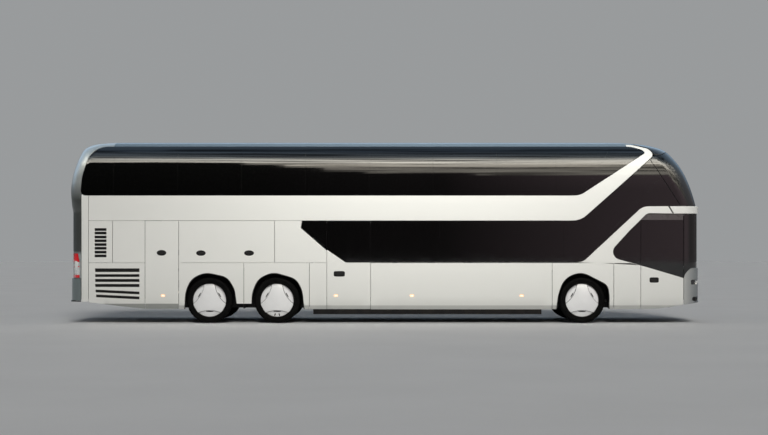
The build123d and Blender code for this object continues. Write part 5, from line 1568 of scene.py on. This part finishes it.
def cover(shape, x, two_slots):
    """Three-armed wheel cover for the right side."""
    def arm_at(a, b):
        r = np.hypot(a, b)
        y = 1.1930 + 0.0485 * (1 - np.clip(r / RIM, 0, 1.05) ** 2.0)
        return np.stack([x + a, -y, 0.5 + b], axis=-1)

    def dish_at(a, b):
        t = np.clip((np.hypot(a, b) - 0.19) / (RIM - 0.19), 0, 1)
        y = 1.2010 - 0.0260 * t ** 1.6
        return np.stack([x + a, -y, 0.5 + b], axis=-1)

    def numeric(at):
        def fn(a, b):
            e = 0.001
            da = at(a + e, b) - at(a - e, b)
            db = at(a, b + e) - at(a, b - e)
            n = np.cross(da, db)
            n /= np.maximum(np.linalg.norm(n, axis=-1, keepdims=True), 1e-12)
            return np.where(n[..., 1:2] > 0, -n, n)
        return fn

    loop = []
    for k, al in enumerate(LOBES):
        edge = lobe_edge(al)
        loop += edge
        nxt = lobe_edge(LOBES[(k + 1) % 3])[0]
        last = edge[-1]
        mid = (last + nxt) / 2
        out = mid / np.linalg.norm(mid)
        for t in (0.06, 0.5, 0.94):
            loop.append(last + (nxt - last) * t + out * 0.001)
    patch(shape, [np.array(loop)], arm_at, numeric(arm_at), grid_lines(0.024), grid_lines(0.024), depth=0.010, edge=0.0045)
    for k, al in enumerate(LOBES):
        edge = lobe_edge(al, 0.0075, reach=0.245)
        a0, a1 = math.atan2(edge[0][1], edge[0][0]), math.atan2(edge[-1][1], edge[-1][0])
        if a1 < a0:
            a1 += 2 * PI
        arc = [np.array([math.cos(t), math.sin(t)]) * (RIM - 0.002) for t in np.linspace(a1, a0, 24)]
        holes = []
        if k == 2:
            holes.append(plane_oval(al, 0.2460, 0.0, 0.0120, 0.085, n=28))
            if two_slots:
                holes.append(plane_oval(al, 0.318, 0.048, 0.034, 0.013, 0.30))
                holes.append(plane_oval(al, 0.318, -0.048, 0.034, 0.013, -0.30))
        else:
            side = -1 if k == 0 else 1
            holes.append(plane_oval(al, 0.2480, side * 0.012, 0.0115, 0.060, n=24))
        patch(shape, [np.array(edge + arc)] + holes, dish_at, numeric(dish_at), grid_lines(0.026), grid_lines(0.026), depth=0.008, edge=0.003)


def wheel(shape, x, twin, two_slots):
    """Right-hand wheel: cover, rim and barrel, disc and hub."""
    cover(shape, x, two_slots)
    deep = TWIN_Y - 0.124 if twin else SINGLE_Y - 0.124
    rim = [(0.3775, 1.2055), (0.3835, 1.2120), (0.3845, 1.2175), (0.3810, 1.2205), (0.3760, 1.2170), (0.3650, 1.2050), (0.3645, 1.1900), (0.3500, 1.1600),
           (0.3420, 1.1400), (0.3420, deep + 0.05), (0.3560, deep + 0.012), (0.3660, deep), (0.3720, deep - 0.002), (0.3720, deep + 0.006), (0.3665, deep + 0.012),
           (0.3660, deep + 0.05), (0.3650, 1.1900)]
    lathe(shape, (x, 0, 0.5), (0, -1, 0), rim, 72, 1, 0.6)
    lathe(shape, (x, 0, 0.5), (0, -1, 0), [(0.001, 1.1800), (0.10, 1.1795), (0.34, 1.1760), (0.349, 1.168)], 48, 2, 0.6)
    lathe(shape, (x, 0, 0.5), (0, -1, 0), [(0.345, 1.125), (0.30, 1.118), (0.22, 1.105), (0.16, 1.10), (0.12, 1.108), (0.12, 1.018), (0.10, 1.010), (0.04, 1.008)], 48, 1, 0.6)
    bolts = Shape()
    for i in range(10):
        t = 2 * PI * i / 10
        lathe(bolts, (x + 0.167 * math.cos(t), 0, 0.5 + 0.167 * math.sin(t)), (0, 1, 0), [(0.0005, -1.090), (0.015, -1.090), (0.017, -1.094), (0.017, -1.112)], 6, 1, 0.3)
    shape.join(bolts)


for axle, x in AXLES.items():
    twin = axle == "drive"
    t, w = Shape(), Shape()
    tyre(t, x, -SINGLE_Y)
    if twin:
        tyre(t, x, -TWIN_Y)
    wheel(w, x, twin, twin)
    for side in ("right", "left"):
        tt, ww = (t, w) if side == "right" else (t.mirrored(), w.mirrored())
        node = f"{axle}_{side}_tyre" + ("s" if twin else "")
        finish_piece(tt.build(node + "_tread", [RUBBER]), f"{axle}_{side}_wheel", [node])
        finish_piece(ww.build(f"{axle}_{side}_wheel_trim", [COVER, STEEL, SEAL]), f"{axle}_{side}_wheel", [f"{axle}_{side}_wheel"])

# ================================================================ arch lips
arches = Shape()
for x_rear, x_front, z_rear, z_front, rows in ARCHED:
    pts = np.array(arch_line(rows, z_rear, z_front)) / 1000
    # a rubber lip just inside the panel edge
    outer = np.array(pts)
    way = np.gradient(outer, axis=0)
    way /= np.maximum(np.linalg.norm(way, axis=1, keepdims=True), 1e-9)
    nin = np.stack([way[:, 1], -way[:, 0]], 1)
    centre = np.array([(outer[0][0] + outer[-1][0]) / 2, 0.5])
    flip = np.sign(np.sum((centre - outer) * nin, axis=1, keepdims=True))
    nin = nin * np.where(flip == 0, 1, flip)
    k = len(outer)
    for (o0, y0), (o1, y1) in (((-0.001, -1.268), (0.014, -1.266)), ((0.014, -1.266), (0.016, -1.236)), ((-0.001, -1.236), (-0.001, -1.268))):
        p0, p1 = outer + nin * o0, outer + nin * o1
        v = np.concatenate([np.stack([p0[:, 0], np.full(k, y0), p0[:, 1]], 1), np.stack([p1[:, 0], np.full(k, y1), p1[:, 1]], 1)])
        d = np.array([o1 - o0, 0]) if abs(o1 - o0) > 0.01 else None
        n3 = np.stack([nin[:, 0], np.zeros(k), nin[:, 1]], 1) if d is None else np.tile([0, -1.0, 0], (k, 1))
        if (o0, o1) == (-0.001, -0.001):
            n3 = -n3
        f = [[i, i + 1, i + 1 + k, i + k] for i in range(k - 1)]
        nn = np.cross(v[f[0][1]] - v[f[0][0]], v[f[0][2]] - v[f[0][0]])
        if np.dot(nn, n3[0]) < 0:
            f = [q[::-1] for q in f]
        arches.add(v, f, np.concatenate([n3, n3]), 0)
arches.join(arches.mirrored())
finish_piece(arches.build("arch_lips", [SEAL]), "body")

# ================================================================ splash plates under the wheelhouses
plates = Shape()


def upright_plate(shape, y, rows, thick=0.006, mat=0):
    """A plate standing along the bus, drawn in x and z (metres)."""
    p = np.array(rows)
    if area2(p) < 0:
        p = p[::-1]
    k = len(p)
    tri = delaunay_2d_cdt([Vector(q) for q in p], [], [list(range(k))], 1, 1e-6)
    pts = np.array([[q.x, q.y] for q in tri[0]])
    faces = [list(f) for f in tri[2]]
    for yy, ny in ((y - thick / 2, -1.0), (y + thick / 2, 1.0)):
        v = np.stack([pts[:, 0], np.full(len(pts), yy), pts[:, 1]], 1)
        f = []
        for q in faces:
            n = np.cross(v[q[1]] - v[q[0]], v[q[2]] - v[q[0]])
            f.append(q if n[1] * ny > 0 else q[::-1])
        shape.add(v, f, np.tile([0, ny, 0], (len(v), 1)), mat)
    for a, b in zip(range(k), list(range(1, k)) + [0]):
        e = p[b] - p[a]
        n = np.array([e[1], 0, -e[0]]) / max(np.hypot(*e), 1e-9)
        v = np.array([(p[a][0], y - thick / 2, p[a][1]), (p[b][0], y - thick / 2, p[b][1]), (p[b][0], y + thick / 2, p[b][1]), (p[a][0], y + thick / 2, p[a][1])])
        f = [0, 1, 2, 3]
        nn = np.cross(v[1] - v[0], v[2] - v[0])
        shape.add(v, [f if np.dot(nn, n) > 0 else f[::-1]], np.tile(n, (4, 1)), mat)


def notch(x, half, top):
    return [(x - half, 0.315), (x - half, top), (x + half, top), (x + half, 0.315)]


upright_plate(plates, -0.598, [(-4.50, 0.315)] + notch(-3.862, 0.11, 0.60) + notch(-2.380, 0.22, 0.715) + [(-1.745, 0.315), (-1.745, 0.719), (-4.50, 0.719)])
upright_plate(plates, -0.508, [(3.665, 0.315), (4.20, 0.315), (4.20, 0.455), (4.42, 0.455), (4.42, 0.315), (4.962, 0.315), (4.962, 0.50), (3.665, 0.50)])
for x in (-4.490, -3.113, -1.755, 3.675, 4.952):
    box(plates, x - 0.004, x + 0.004, -1.215, -0.60, 0.315, 0.72 if x < 0 else 0.50, 0.002, 0)
plates.join(plates.mirrored())
finish_piece(plates.build("splash_plates", [LINER]), "body")

# ================================================================ seats
SEAT_W = 0.450
SEAT_Y = 0.690
UPPER_DECK_Z, LOWER_DECK_Z = 2.341, 0.501
UPPER_ROWS = [-5.900 + 0.830 * i for i in range(13)]
LOWER_ROWS = [-0.300 + 0.830 * i for i in range(5)]
STAIR_X = (-1.560, -0.640)


def rounded_box(size, power=7.0, cuts=9):
    """A closed quad form between a box and an ellipsoid, centred on the origin: points and faces."""
    n = cuts + 2
    t = np.linspace(-1, 1, n)
    keys, v, f = {}, [], []

    def point(q):
        key = tuple(np.round(q, 5))
        if key not in keys:
            keys[key] = len(v)
            v.append(np.array(q) / (np.abs(np.array(q)) ** power).sum() ** (1 / power))
        return keys[key]

    for axis in range(3):
        for side in (-1.0, 1.0):
            for i in range(n - 1):
                for j in range(n - 1):
                    quad = []
                    for a, b in ((i, j), (i + 1, j), (i + 1, j + 1), (i, j + 1)):
                        q = [0.0, 0.0, 0.0]
                        q[axis], q[(axis + 1) % 3], q[(axis + 2) % 3] = side, t[a], t[b]
                        quad.append(point(q))
                    f.append(quad if side > 0 else quad[::-1])
    return np.array(v) * np.array(size) / 2, f


def stuffed(name, v, f, cap, sew, triangles, voxel=0.011):
    """Stuff a closed form with simulated cloth, sew its channels and thin the mesh: points, triangles, normals."""
    me = bpy.data.meshes.new(name)
    me.from_pydata([tuple(p) for p in v], [], f)
    ob = bpy.data.objects.new(name, me)
    bpy.context.scene.collection.objects.link(ob)

    def settle():
        ev = ob.evaluated_get(bpy.context.evaluated_depsgraph_get())
        new = bpy.data.meshes.new_from_object(ev)
        ob.modifiers.clear()
        ob.data = new
        return new

    mod = ob.modifiers.new("skin", "REMESH")
    mod.mode, mod.voxel_size = "VOXEL", voxel
    me = settle()
    start = np.array([p.co[:] for p in me.vertices])
    pos = start.copy()
    cloth = ob.modifiers.new("stuffing", "CLOTH")
    cloth.settings.quality = 4
    cloth.settings.use_pressure = True
    cloth.settings.uniform_pressure_force = 4.0
    cloth.settings.effector_weights.gravity = 0.0
    cloth.point_cache.frame_start, cloth.point_cache.frame_end = 1, 20
    for frame_no in range(1, 21):
        bpy.context.scene.frame_set(frame_no)
    me = settle()
    end = np.array([p.co[:] for p in me.vertices])
    move = end - start
    far = np.linalg.norm(move, axis=1, keepdims=True)
    pos = start + move * np.minimum(1.0, cap / np.maximum(far, 1e-9))
    bpy.context.scene.frame_set(1)
    me = ob.data
    pos = sew(pos)
    me.vertices.foreach_set("co", pos.ravel())
    sub = ob.modifiers.new("smooth", "SUBSURF")
    sub.levels = sub.render_levels = 1
    count = 8 * len(me.polygons)
    thin = ob.modifiers.new("thin", "DECIMATE")
    thin.ratio = min(1.0, triangles / max(count, 1))
    thin.use_collapse_triangulate = True
    me = settle()
    out = (np.array([p.co[:] for p in me.vertices]), [list(q.vertices) for q in me.polygons], np.array([p.normal[:] for p in me.vertices]))
    bpy.data.objects.remove(ob)
    return out


def sew_cushion(p):
    """Two channels across the top and a seam round the edge."""
    p = p.copy()
    top = np.clip(p[:, 2] / 0.03, 0, 1)
    for x0 in (-0.075, 0.075):
        p[:, 2] -= top * 0.008 * np.exp(-((p[:, 0] - x0) / 0.010) ** 2)
    side = np.exp(-((p[:, 2] - 0.012) / 0.008) ** 2)
    p[:, :2] *= (1 - 0.012 * side)[:, None]
    return p


def sew_back(p):
    """Channels up the back rest, and one under the head rest."""
    p = p.copy()
    front = np.clip(p[:, 0] / 0.02, 0, 1)
    for y0 in (-0.115, 0.115):
        p[:, 0] -= front * 0.008 * np.exp(-((p[:, 1] - y0) / 0.010) ** 2) * np.clip((0.19 - p[:, 2]) / 0.05, 0, 1)
    p[:, 0] -= front * 0.009 * np.exp(-((p[:, 2] - 0.185) / 0.011) ** 2)
    return p


v, f = rounded_box((0.430, 0.408, 0.084))
v[:, 1] *= 1 - 0.03 * (1 - (v[:, 0] / 0.215) ** 2)          # sides pull in between the corners
v[:, 2] += 0.008 * (v[:, 0] / 0.215) ** 3 * (v[:, 0] > 0)      # the front edge is raised
CUSHION = stuffed("cushion", v, f, 0.012, sew_cushion, 1900)
v, f = rounded_box((0.064, 0.408, 0.690))
w = v[:, 2] / 0.345
head = np.clip((w - 0.50) / 0.14, 0, 1)
head = head * head * (3 - 2 * head)
v[:, 1] *= (1 - 0.24 * head) * (1 - 0.03 * (1 - w ** 2))
v[:, 0] += 0.010 * np.abs(v[:, 1] / 0.204) ** 3 * (v[:, 0] > 0) * (1 - head)      # side bolsters
BACK = stuffed("back_rest", v, f, 0.010, sew_back, 2300)
LEAN = math.atan2(0.140, 0.700)


def seat_pads(shape, x, y, z):
    """Cushion and back rest of one seat."""
    v, f, n = CUSHION
    shape.add(v + np.array([x + 0.034, y, z + 0.371]), f, n, 0)
    v, f, n = BACK
    c, s = math.cos(LEAN), math.sin(LEAN)
    turn = np.array([[c, 0, -s], [0, 1, 0], [s, 0, c]])
    at = v @ turn.T + np.array([x - 0.302, y, z + 0.778])
    head = [k for k, q in enumerate(f) if v[q, 2].mean() > 0.190]
    rest = [q for k, q in enumerate(f) if k not in set(head)]
    shape.add(at, rest, n @ turn.T, 0)
    shape.add(at, [f[k] for k in head], n @ turn.T, 1)


def seat_shell(shape, x, y, z):
    """Hard back shell and folded table of one seat."""
    leaning = Shape()
    box(leaning, -0.049, -0.040, -0.190, 0.190, -0.330, 0.200, 0.004, 1)
    box(leaning, -0.062, -0.051, -0.165, 0.165, -0.080, 0.150, 0.004, 1)
    box(leaning, -0.058, -0.050, -0.170, 0.170, -0.290, -0.150, 0.003, 1)
    c, s = math.cos(LEAN), math.sin(LEAN)
    turn = np.array([[c, 0, -s], [0, 1, 0], [s, 0, c]])
    shape.join(leaning.moved(lambda v: v @ turn.T + np.array([x - 0.302, y, z + 0.778]), lambda n: n @ turn.T))


def seat_frame(shape, x, y, z, half):
    """Beams, legs and arm rests under and beside a row of seats."""
    for dx in (-0.150, 0.140):
        box(shape, x + dx - 0.018, x + dx + 0.018, y - half + 0.012, y + half - 0.012, z + 0.282, z + 0.318, 0.006, 0)
    for side in (-0.55, 0.55):
        box(shape, x - 0.165, x + 0.155, y + half * side - 0.022, y + half * side + 0.022, z + 0.262, z + 0.282, 0.005, 0)
        box(shape, x - 0.100, x - 0.055, y + half * side - 0.016, y + half * side + 0.016, z + 0.012, z + 0.262, 0.005, 0)
        box(shape, x + 0.050, x + 0.095, y + half * side - 0.016, y + half * side + 0.016, z + 0.012, z + 0.262, 0.005, 0)
        box(shape, x - 0.130, x + 0.120, y + half * side - 0.030, y + half * side + 0.030, z + 0.002, z + 0.012, 0.003, 0)
    for side in (-1, 1):
        edge = y + side * (half - 0.018)
        box(shape, x - 0.235, x + 0.060, edge - 0.0165, edge + 0.0165, z + 0.610, z + 0.640, 0.009, 1)
        box(shape, x - 0.200, x - 0.170, edge - 0.009, edge + 0.009, z + 0.330, z + 0.610, 0.004, 0)


UNITS = [("upper", x, y, UPPER_DECK_Z) for x in UPPER_ROWS for y in (SEAT_Y, -SEAT_Y) if not (y > 0 and STAIR_X[0] - 0.5 < x < STAIR_X[1] + 0.4)]
UNITS += [("lower", x, y, LOWER_DECK_Z) for x in LOWER_ROWS for y in (SEAT_Y, -SEAT_Y) if x >= 0.3]
pads = {"upper_right": Shape(), "upper_left": Shape(), "lower": Shape()}
frames = {"upper": Shape(), "lower": Shape()}
for deck, x, y, z in UNITS:
    key = deck if deck == "lower" else deck + ("_right" if y < 0 else "_left")
    for dy in (-0.225, 0.225):
        seat_pads(pads[key], x, y + dy, z)
        seat_shell(frames[deck], x, y + dy, z)
    seat_frame(frames[deck], x, y, z, SEAT_W)
for key, sh in pads.items():
    o = finish_piece(sh.build(f"{key}_seat_pads", [FABRIC, LEATHER]), "body", ["passenger_seats"])
for key, sh in frames.items():
    finish_piece(sh.build(f"{key}_seat_frames", [STEEL, PLASTIC]), "body", ["passenger_seats"])
sh = Shape()
seat_pads(sh, 5.560, 0.640, 0.560)
finish_piece(sh.build("driver_seat_pads", [FABRIC, LEATHER]), "body", ["driver_seat"])
sh = Shape()
seat_shell(sh, 5.560, 0.640, 0.560)
box(sh, 5.300, 5.780, 0.375, 0.905, 0.502, 0.556, 0.008, 0)
box(sh, 5.380, 5.700, 0.430, 0.850, 0.556, 0.870, 0.020, 1)
box(sh, 5.350, 5.760, 0.445, 0.835, 0.870, 0.884, 0.004, 0)
finish_piece(sh.build("driver_seat_base", [STEEL, PLASTIC]), "body", ["driver_seat"])

# ================================================================ materials of the pieces shown as built
SHOWN = {
    "wheelhouses": LINER, "chassis_frame": STEEL, "axles": STEEL, "front_left_knuckle": STEEL, "front_right_knuckle": STEEL, "engine": IRON,
    "lower_floor": FLOOR_VINYL, "upper_floor": FLOOR_VINYL, "luggage_bay": LINER, "stairs": FLOOR_VINYL, "dashboard": DASH, "steering_wheel": LEATHER,
    "window_pillars": SEAL, "front_door_arms": STEEL, "mid_door_arms": STEEL,
}
for node, mat in SHOWN.items():
    for ms in bpy.data.objects[node].material_slots:
        ms.material = mat

# ================================================================ stage and light
floor_mat = material("stage_floor", (0.88, 0.88, 0.88), rough=0.85, var=0.02, var_scale=0.4, grain=0.02, grain_scale=60)
me = bpy.data.meshes.new("stage_floor")
ring = [(150 * math.cos(2 * PI * i / 96), 150 * math.sin(2 * PI * i / 96), -0.001) for i in range(96)]
me.from_pydata(ring, [], [list(range(96))])
me.materials.append(floor_mat)
stage_floor = bpy.data.objects.new("stage_floor", me)
COL.objects.link(stage_floor)

world = bpy.data.worlds.new("studio")
bpy.context.scene.world = world
world.use_nodes = True
nt = world.node_tree
nt.nodes.clear()


def wnode(kind, **props):
    n = nt.nodes.new(kind)
    for k, v in props.items():
        setattr(n, k, v)
    return n


def wmath(op, a, b=None):
    n = wnode("ShaderNodeMath", operation=op)
    for i, v in enumerate((a, b)):
        if v is None:
            continue
        if isinstance(v, (int, float)):
            n.inputs[i].default_value = v
        else:
            nt.links.new(v, n.inputs[i])
    return n.outputs[0]


def wmap(value, lo, hi, to_lo, to_hi):
    n = wnode("ShaderNodeMapRange")
    for k, v in (("From Min", lo), ("From Max", hi), ("To Min", to_lo), ("To Max", to_hi)):
        n.inputs[k].default_value = v
    nt.links.new(value, n.inputs["Value"])
    return n.outputs["Result"]


def wramp(value, stops, mode="LINEAR"):
    n = wnode("ShaderNodeValToRGB")
    r = n.color_ramp
    r.interpolation = mode
    r.elements[0].position, r.elements[0].color = stops[0][0], (*stops[0][1], 1)
    r.elements[1].position, r.elements[1].color = stops[-1][0], (*stops[-1][1], 1)
    for pos, c in stops[1:-1]:
        r.elements.new(pos).color = (*c, 1)
    nt.links.new(value, n.inputs["Fac"])
    return n.outputs["Color"]


def wmix(fac, a, b, mode="MIX"):
    n = wnode("ShaderNodeMix", data_type="RGBA", blend_type=mode)
    for sock, v in ((n.inputs[0], fac), (n.inputs[6], a), (n.inputs[7], b)):
        if isinstance(v, (int, float)):
            sock.default_value = v
        elif isinstance(v, tuple):
            sock.default_value = (*v, 1)
        else:
            nt.links.new(v, sock)
    return n.outputs[2]


tc = wnode("ShaderNodeTexCoord")
sep = wnode("ShaderNodeSeparateXYZ")
nt.links.new(tc.outputs["Generated"], sep.inputs["Vector"])
dx, dy, dz = sep.outputs
# what the glass mirrors: a dark skyline, a bright streaked bank of cloud over it, deep blue overhead
streak_map = wnode("ShaderNodeMapping")
streak_map.inputs["Scale"].default_value = (5.5, 2.6, 19.0)
nt.links.new(tc.outputs["Generated"], streak_map.inputs["Vector"])
streak = wnode("ShaderNodeTexNoise")
streak.inputs["Scale"].default_value = 1.6
streak.inputs["Detail"].default_value = 4.0
streak.inputs["Distortion"].default_value = 0.6
nt.links.new(streak_map.outputs["Vector"], streak.inputs["Vector"])
streaks = wmap(streak.outputs["Fac"], 0.40, 0.60, 0.28, 1.30)
sky_front = wramp(dz, [(0.0, (0.9, 0.85, 0.75)), (0.42, (1.5, 1.4, 1.2)), (0.49, (4.2, 3.9, 3.3)), (0.60, (6.2, 5.9, 5.2)), (0.68, (4.0, 3.9, 3.5)), (0.735, (1.5, 1.6, 1.6)), (0.80, (0.50, 0.60, 0.68)),
                       (0.95, (0.22, 0.31, 0.42)), (1.0, (0.22, 0.31, 0.42))])
sky_front = wmix(1.0, sky_front, streaks, "MULTIPLY")
sky_front = wmix(1.0, sky_front, wmap(dx, 0.30, 0.65, 1.0, 0.50), "MULTIPLY")
skyline = wramp(wmap(dx, -0.30, 0.30, 0.0, 1.0), [(0.0, (0.58, 0, 0)), (0.30, (0.58, 0, 0)), (0.345, (0.50, 0, 0)), (0.39, (0.42, 0, 0)), (0.43, (0.34, 0, 0)),
                                                  (0.48, (0.31, 0, 0)), (0.60, (0.27, 0, 0)), (1.0, (0.25, 0, 0))], "CONSTANT")
sky_sep = wnode("ShaderNodeSeparateColor")
nt.links.new(skyline, sky_sep.inputs["Color"])
above = wmap(wmath("SUBTRACT", dz, sky_sep.outputs[0]), -0.012, 0.012, 0.0, 1.0)
ground_front = wramp(wmap(dx, -0.10, 0.30, 0.0, 1.0), [(0.0, (0.010, 0.011, 0.009)), (0.35, (0.03, 0.026, 0.026)), (0.75, (0.33, 0.25, 0.27)), (1.0, (0.40, 0.31, 0.33))])
ground_front = wmix(1.0, ground_front, wmap(dz, 0.12, 0.55, 1.0, 2.1), "MULTIPLY")
front_view = wmix(above, ground_front, sky_front)
back_view = wramp(dz, [(0.0, (0.05, 0.06, 0.06)), (0.12, (0.07, 0.08, 0.09)), (0.30, (0.50, 0.68, 0.88)), (0.6, (0.45, 0.62, 0.80)), (0.85, (0.33, 0.46, 0.60)), (1.0, (0.22, 0.31, 0.42))])
mirror_view = wmix(wmap(dy, -0.10, 0.10, 0.0, 1.0), front_view, back_view)
nose_view = wramp(dz, [(0.0, (0.20, 0.185, 0.185)), (0.25, (0.34, 0.33, 0.34)), (0.60, (0.48, 0.53, 0.58)), (1.0, (0.26, 0.35, 0.46))])
mirror_view = wmix(wmap(dx, 0.62, 0.90, 0.0, 1.0), mirror_view, nose_view)

mirror_bg = wnode("ShaderNodeBackground")
nt.links.new(mirror_view, mirror_bg.inputs["Color"])
soft_bg = wnode("ShaderNodeBackground")
near_soft = wramp(dz, [(0.0, (0.13, 0.13, 0.13)), (0.35, (0.18, 0.18, 0.185)), (1.0, (0.10, 0.108, 0.12))])
far_soft = wramp(dz, [(0.0, (0.02, 0.02, 0.022)), (0.35, (0.03, 0.031, 0.034)), (0.8, (0.035, 0.038, 0.042)), (1.0, (0.065, 0.071, 0.078))])
nt.links.new(wmix(wmap(dy, -0.25, 0.35, 0.0, 1.0), near_soft, far_soft), soft_bg.inputs["Color"])
plain = wnode("ShaderNodeBackground")
plain.inputs["Color"].default_value = (0.318, 0.328, 0.334, 1)
lp = wnode("ShaderNodeLightPath")
mix_g = wnode("ShaderNodeMixShader")
nt.links.new(lp.outputs["Is Glossy Ray"], mix_g.inputs["Fac"])
nt.links.new(soft_bg.outputs["Background"], mix_g.inputs[1])
nt.links.new(mirror_bg.outputs["Background"], mix_g.inputs[2])
mix_c = wnode("ShaderNodeMixShader")
nt.links.new(lp.outputs["Is Camera Ray"], mix_c.inputs["Fac"])
nt.links.new(mix_g.outputs["Shader"], mix_c.inputs[1])
nt.links.new(plain.outputs["Background"], mix_c.inputs[2])
out = wnode("ShaderNodeOutputWorld")
nt.links.new(mix_c.outputs["Shader"], out.inputs["Surface"])


def area_light(name, loc, target, size, energy, color=(1, 1, 1)):
    d = bpy.data.lights.new(name, "AREA")
    d.shape = "RECTANGLE"
    d.size, d.size_y = size
    d.energy = energy
    d.color = color
    o = bpy.data.objects.new(name, d)
    o.location = loc
    o.rotation_euler = (Vector(target) - Vector(loc)).to_track_quat("-Z", "Y").to_euler()
    o.visible_camera = False
    o.visible_glossy = False
    COL.objects.link(o)
    return o


sun_data = bpy.data.lights.new("daylight", "SUN")
sun_data.energy = 1.29
sun_data.angle = math.radians(22)
sun_data.color = (1.0, 0.985, 0.95)
sun = bpy.data.objects.new("daylight", sun_data)
sun.rotation_euler = (Vector((0, 0, 0)) - Vector((0.15, -1.30, 1.0))).to_track_quat("-Z", "Y").to_euler()
sun.visible_glossy = False
COL.objects.link(sun)
near = [
    area_light("strip_right", (1.3, -4.6, 6.6), (1.3, 0, 2.2), (9, 1.6), 400, (1.0, 0.985, 0.93)),
    area_light("strip_left", (0.0, 5.8, 7.8), (0.0, 0, 2.2), (30, 2.0), 680, (1.0, 0.99, 0.96)),
    area_light("strip_nose", (13.0, 0, 6.5), (6.5, 0, 2.0), (6, 3), 220, (1.0, 0.99, 0.97)),
    area_light("strip_tail", (-13.0, 0, 6.5), (-6.5, 0, 2.0), (6, 3), 330, (0.97, 0.99, 1.0)),
]
unlit = bpy.data.collections.new("floor_only")       # the near lights leave the floor even
unlit.objects.link(stage_floor)
unlit.collection_objects[0].light_linking.link_state = "EXCLUDE"
for o in near:
    o.light_linking.receiver_collection = unlit
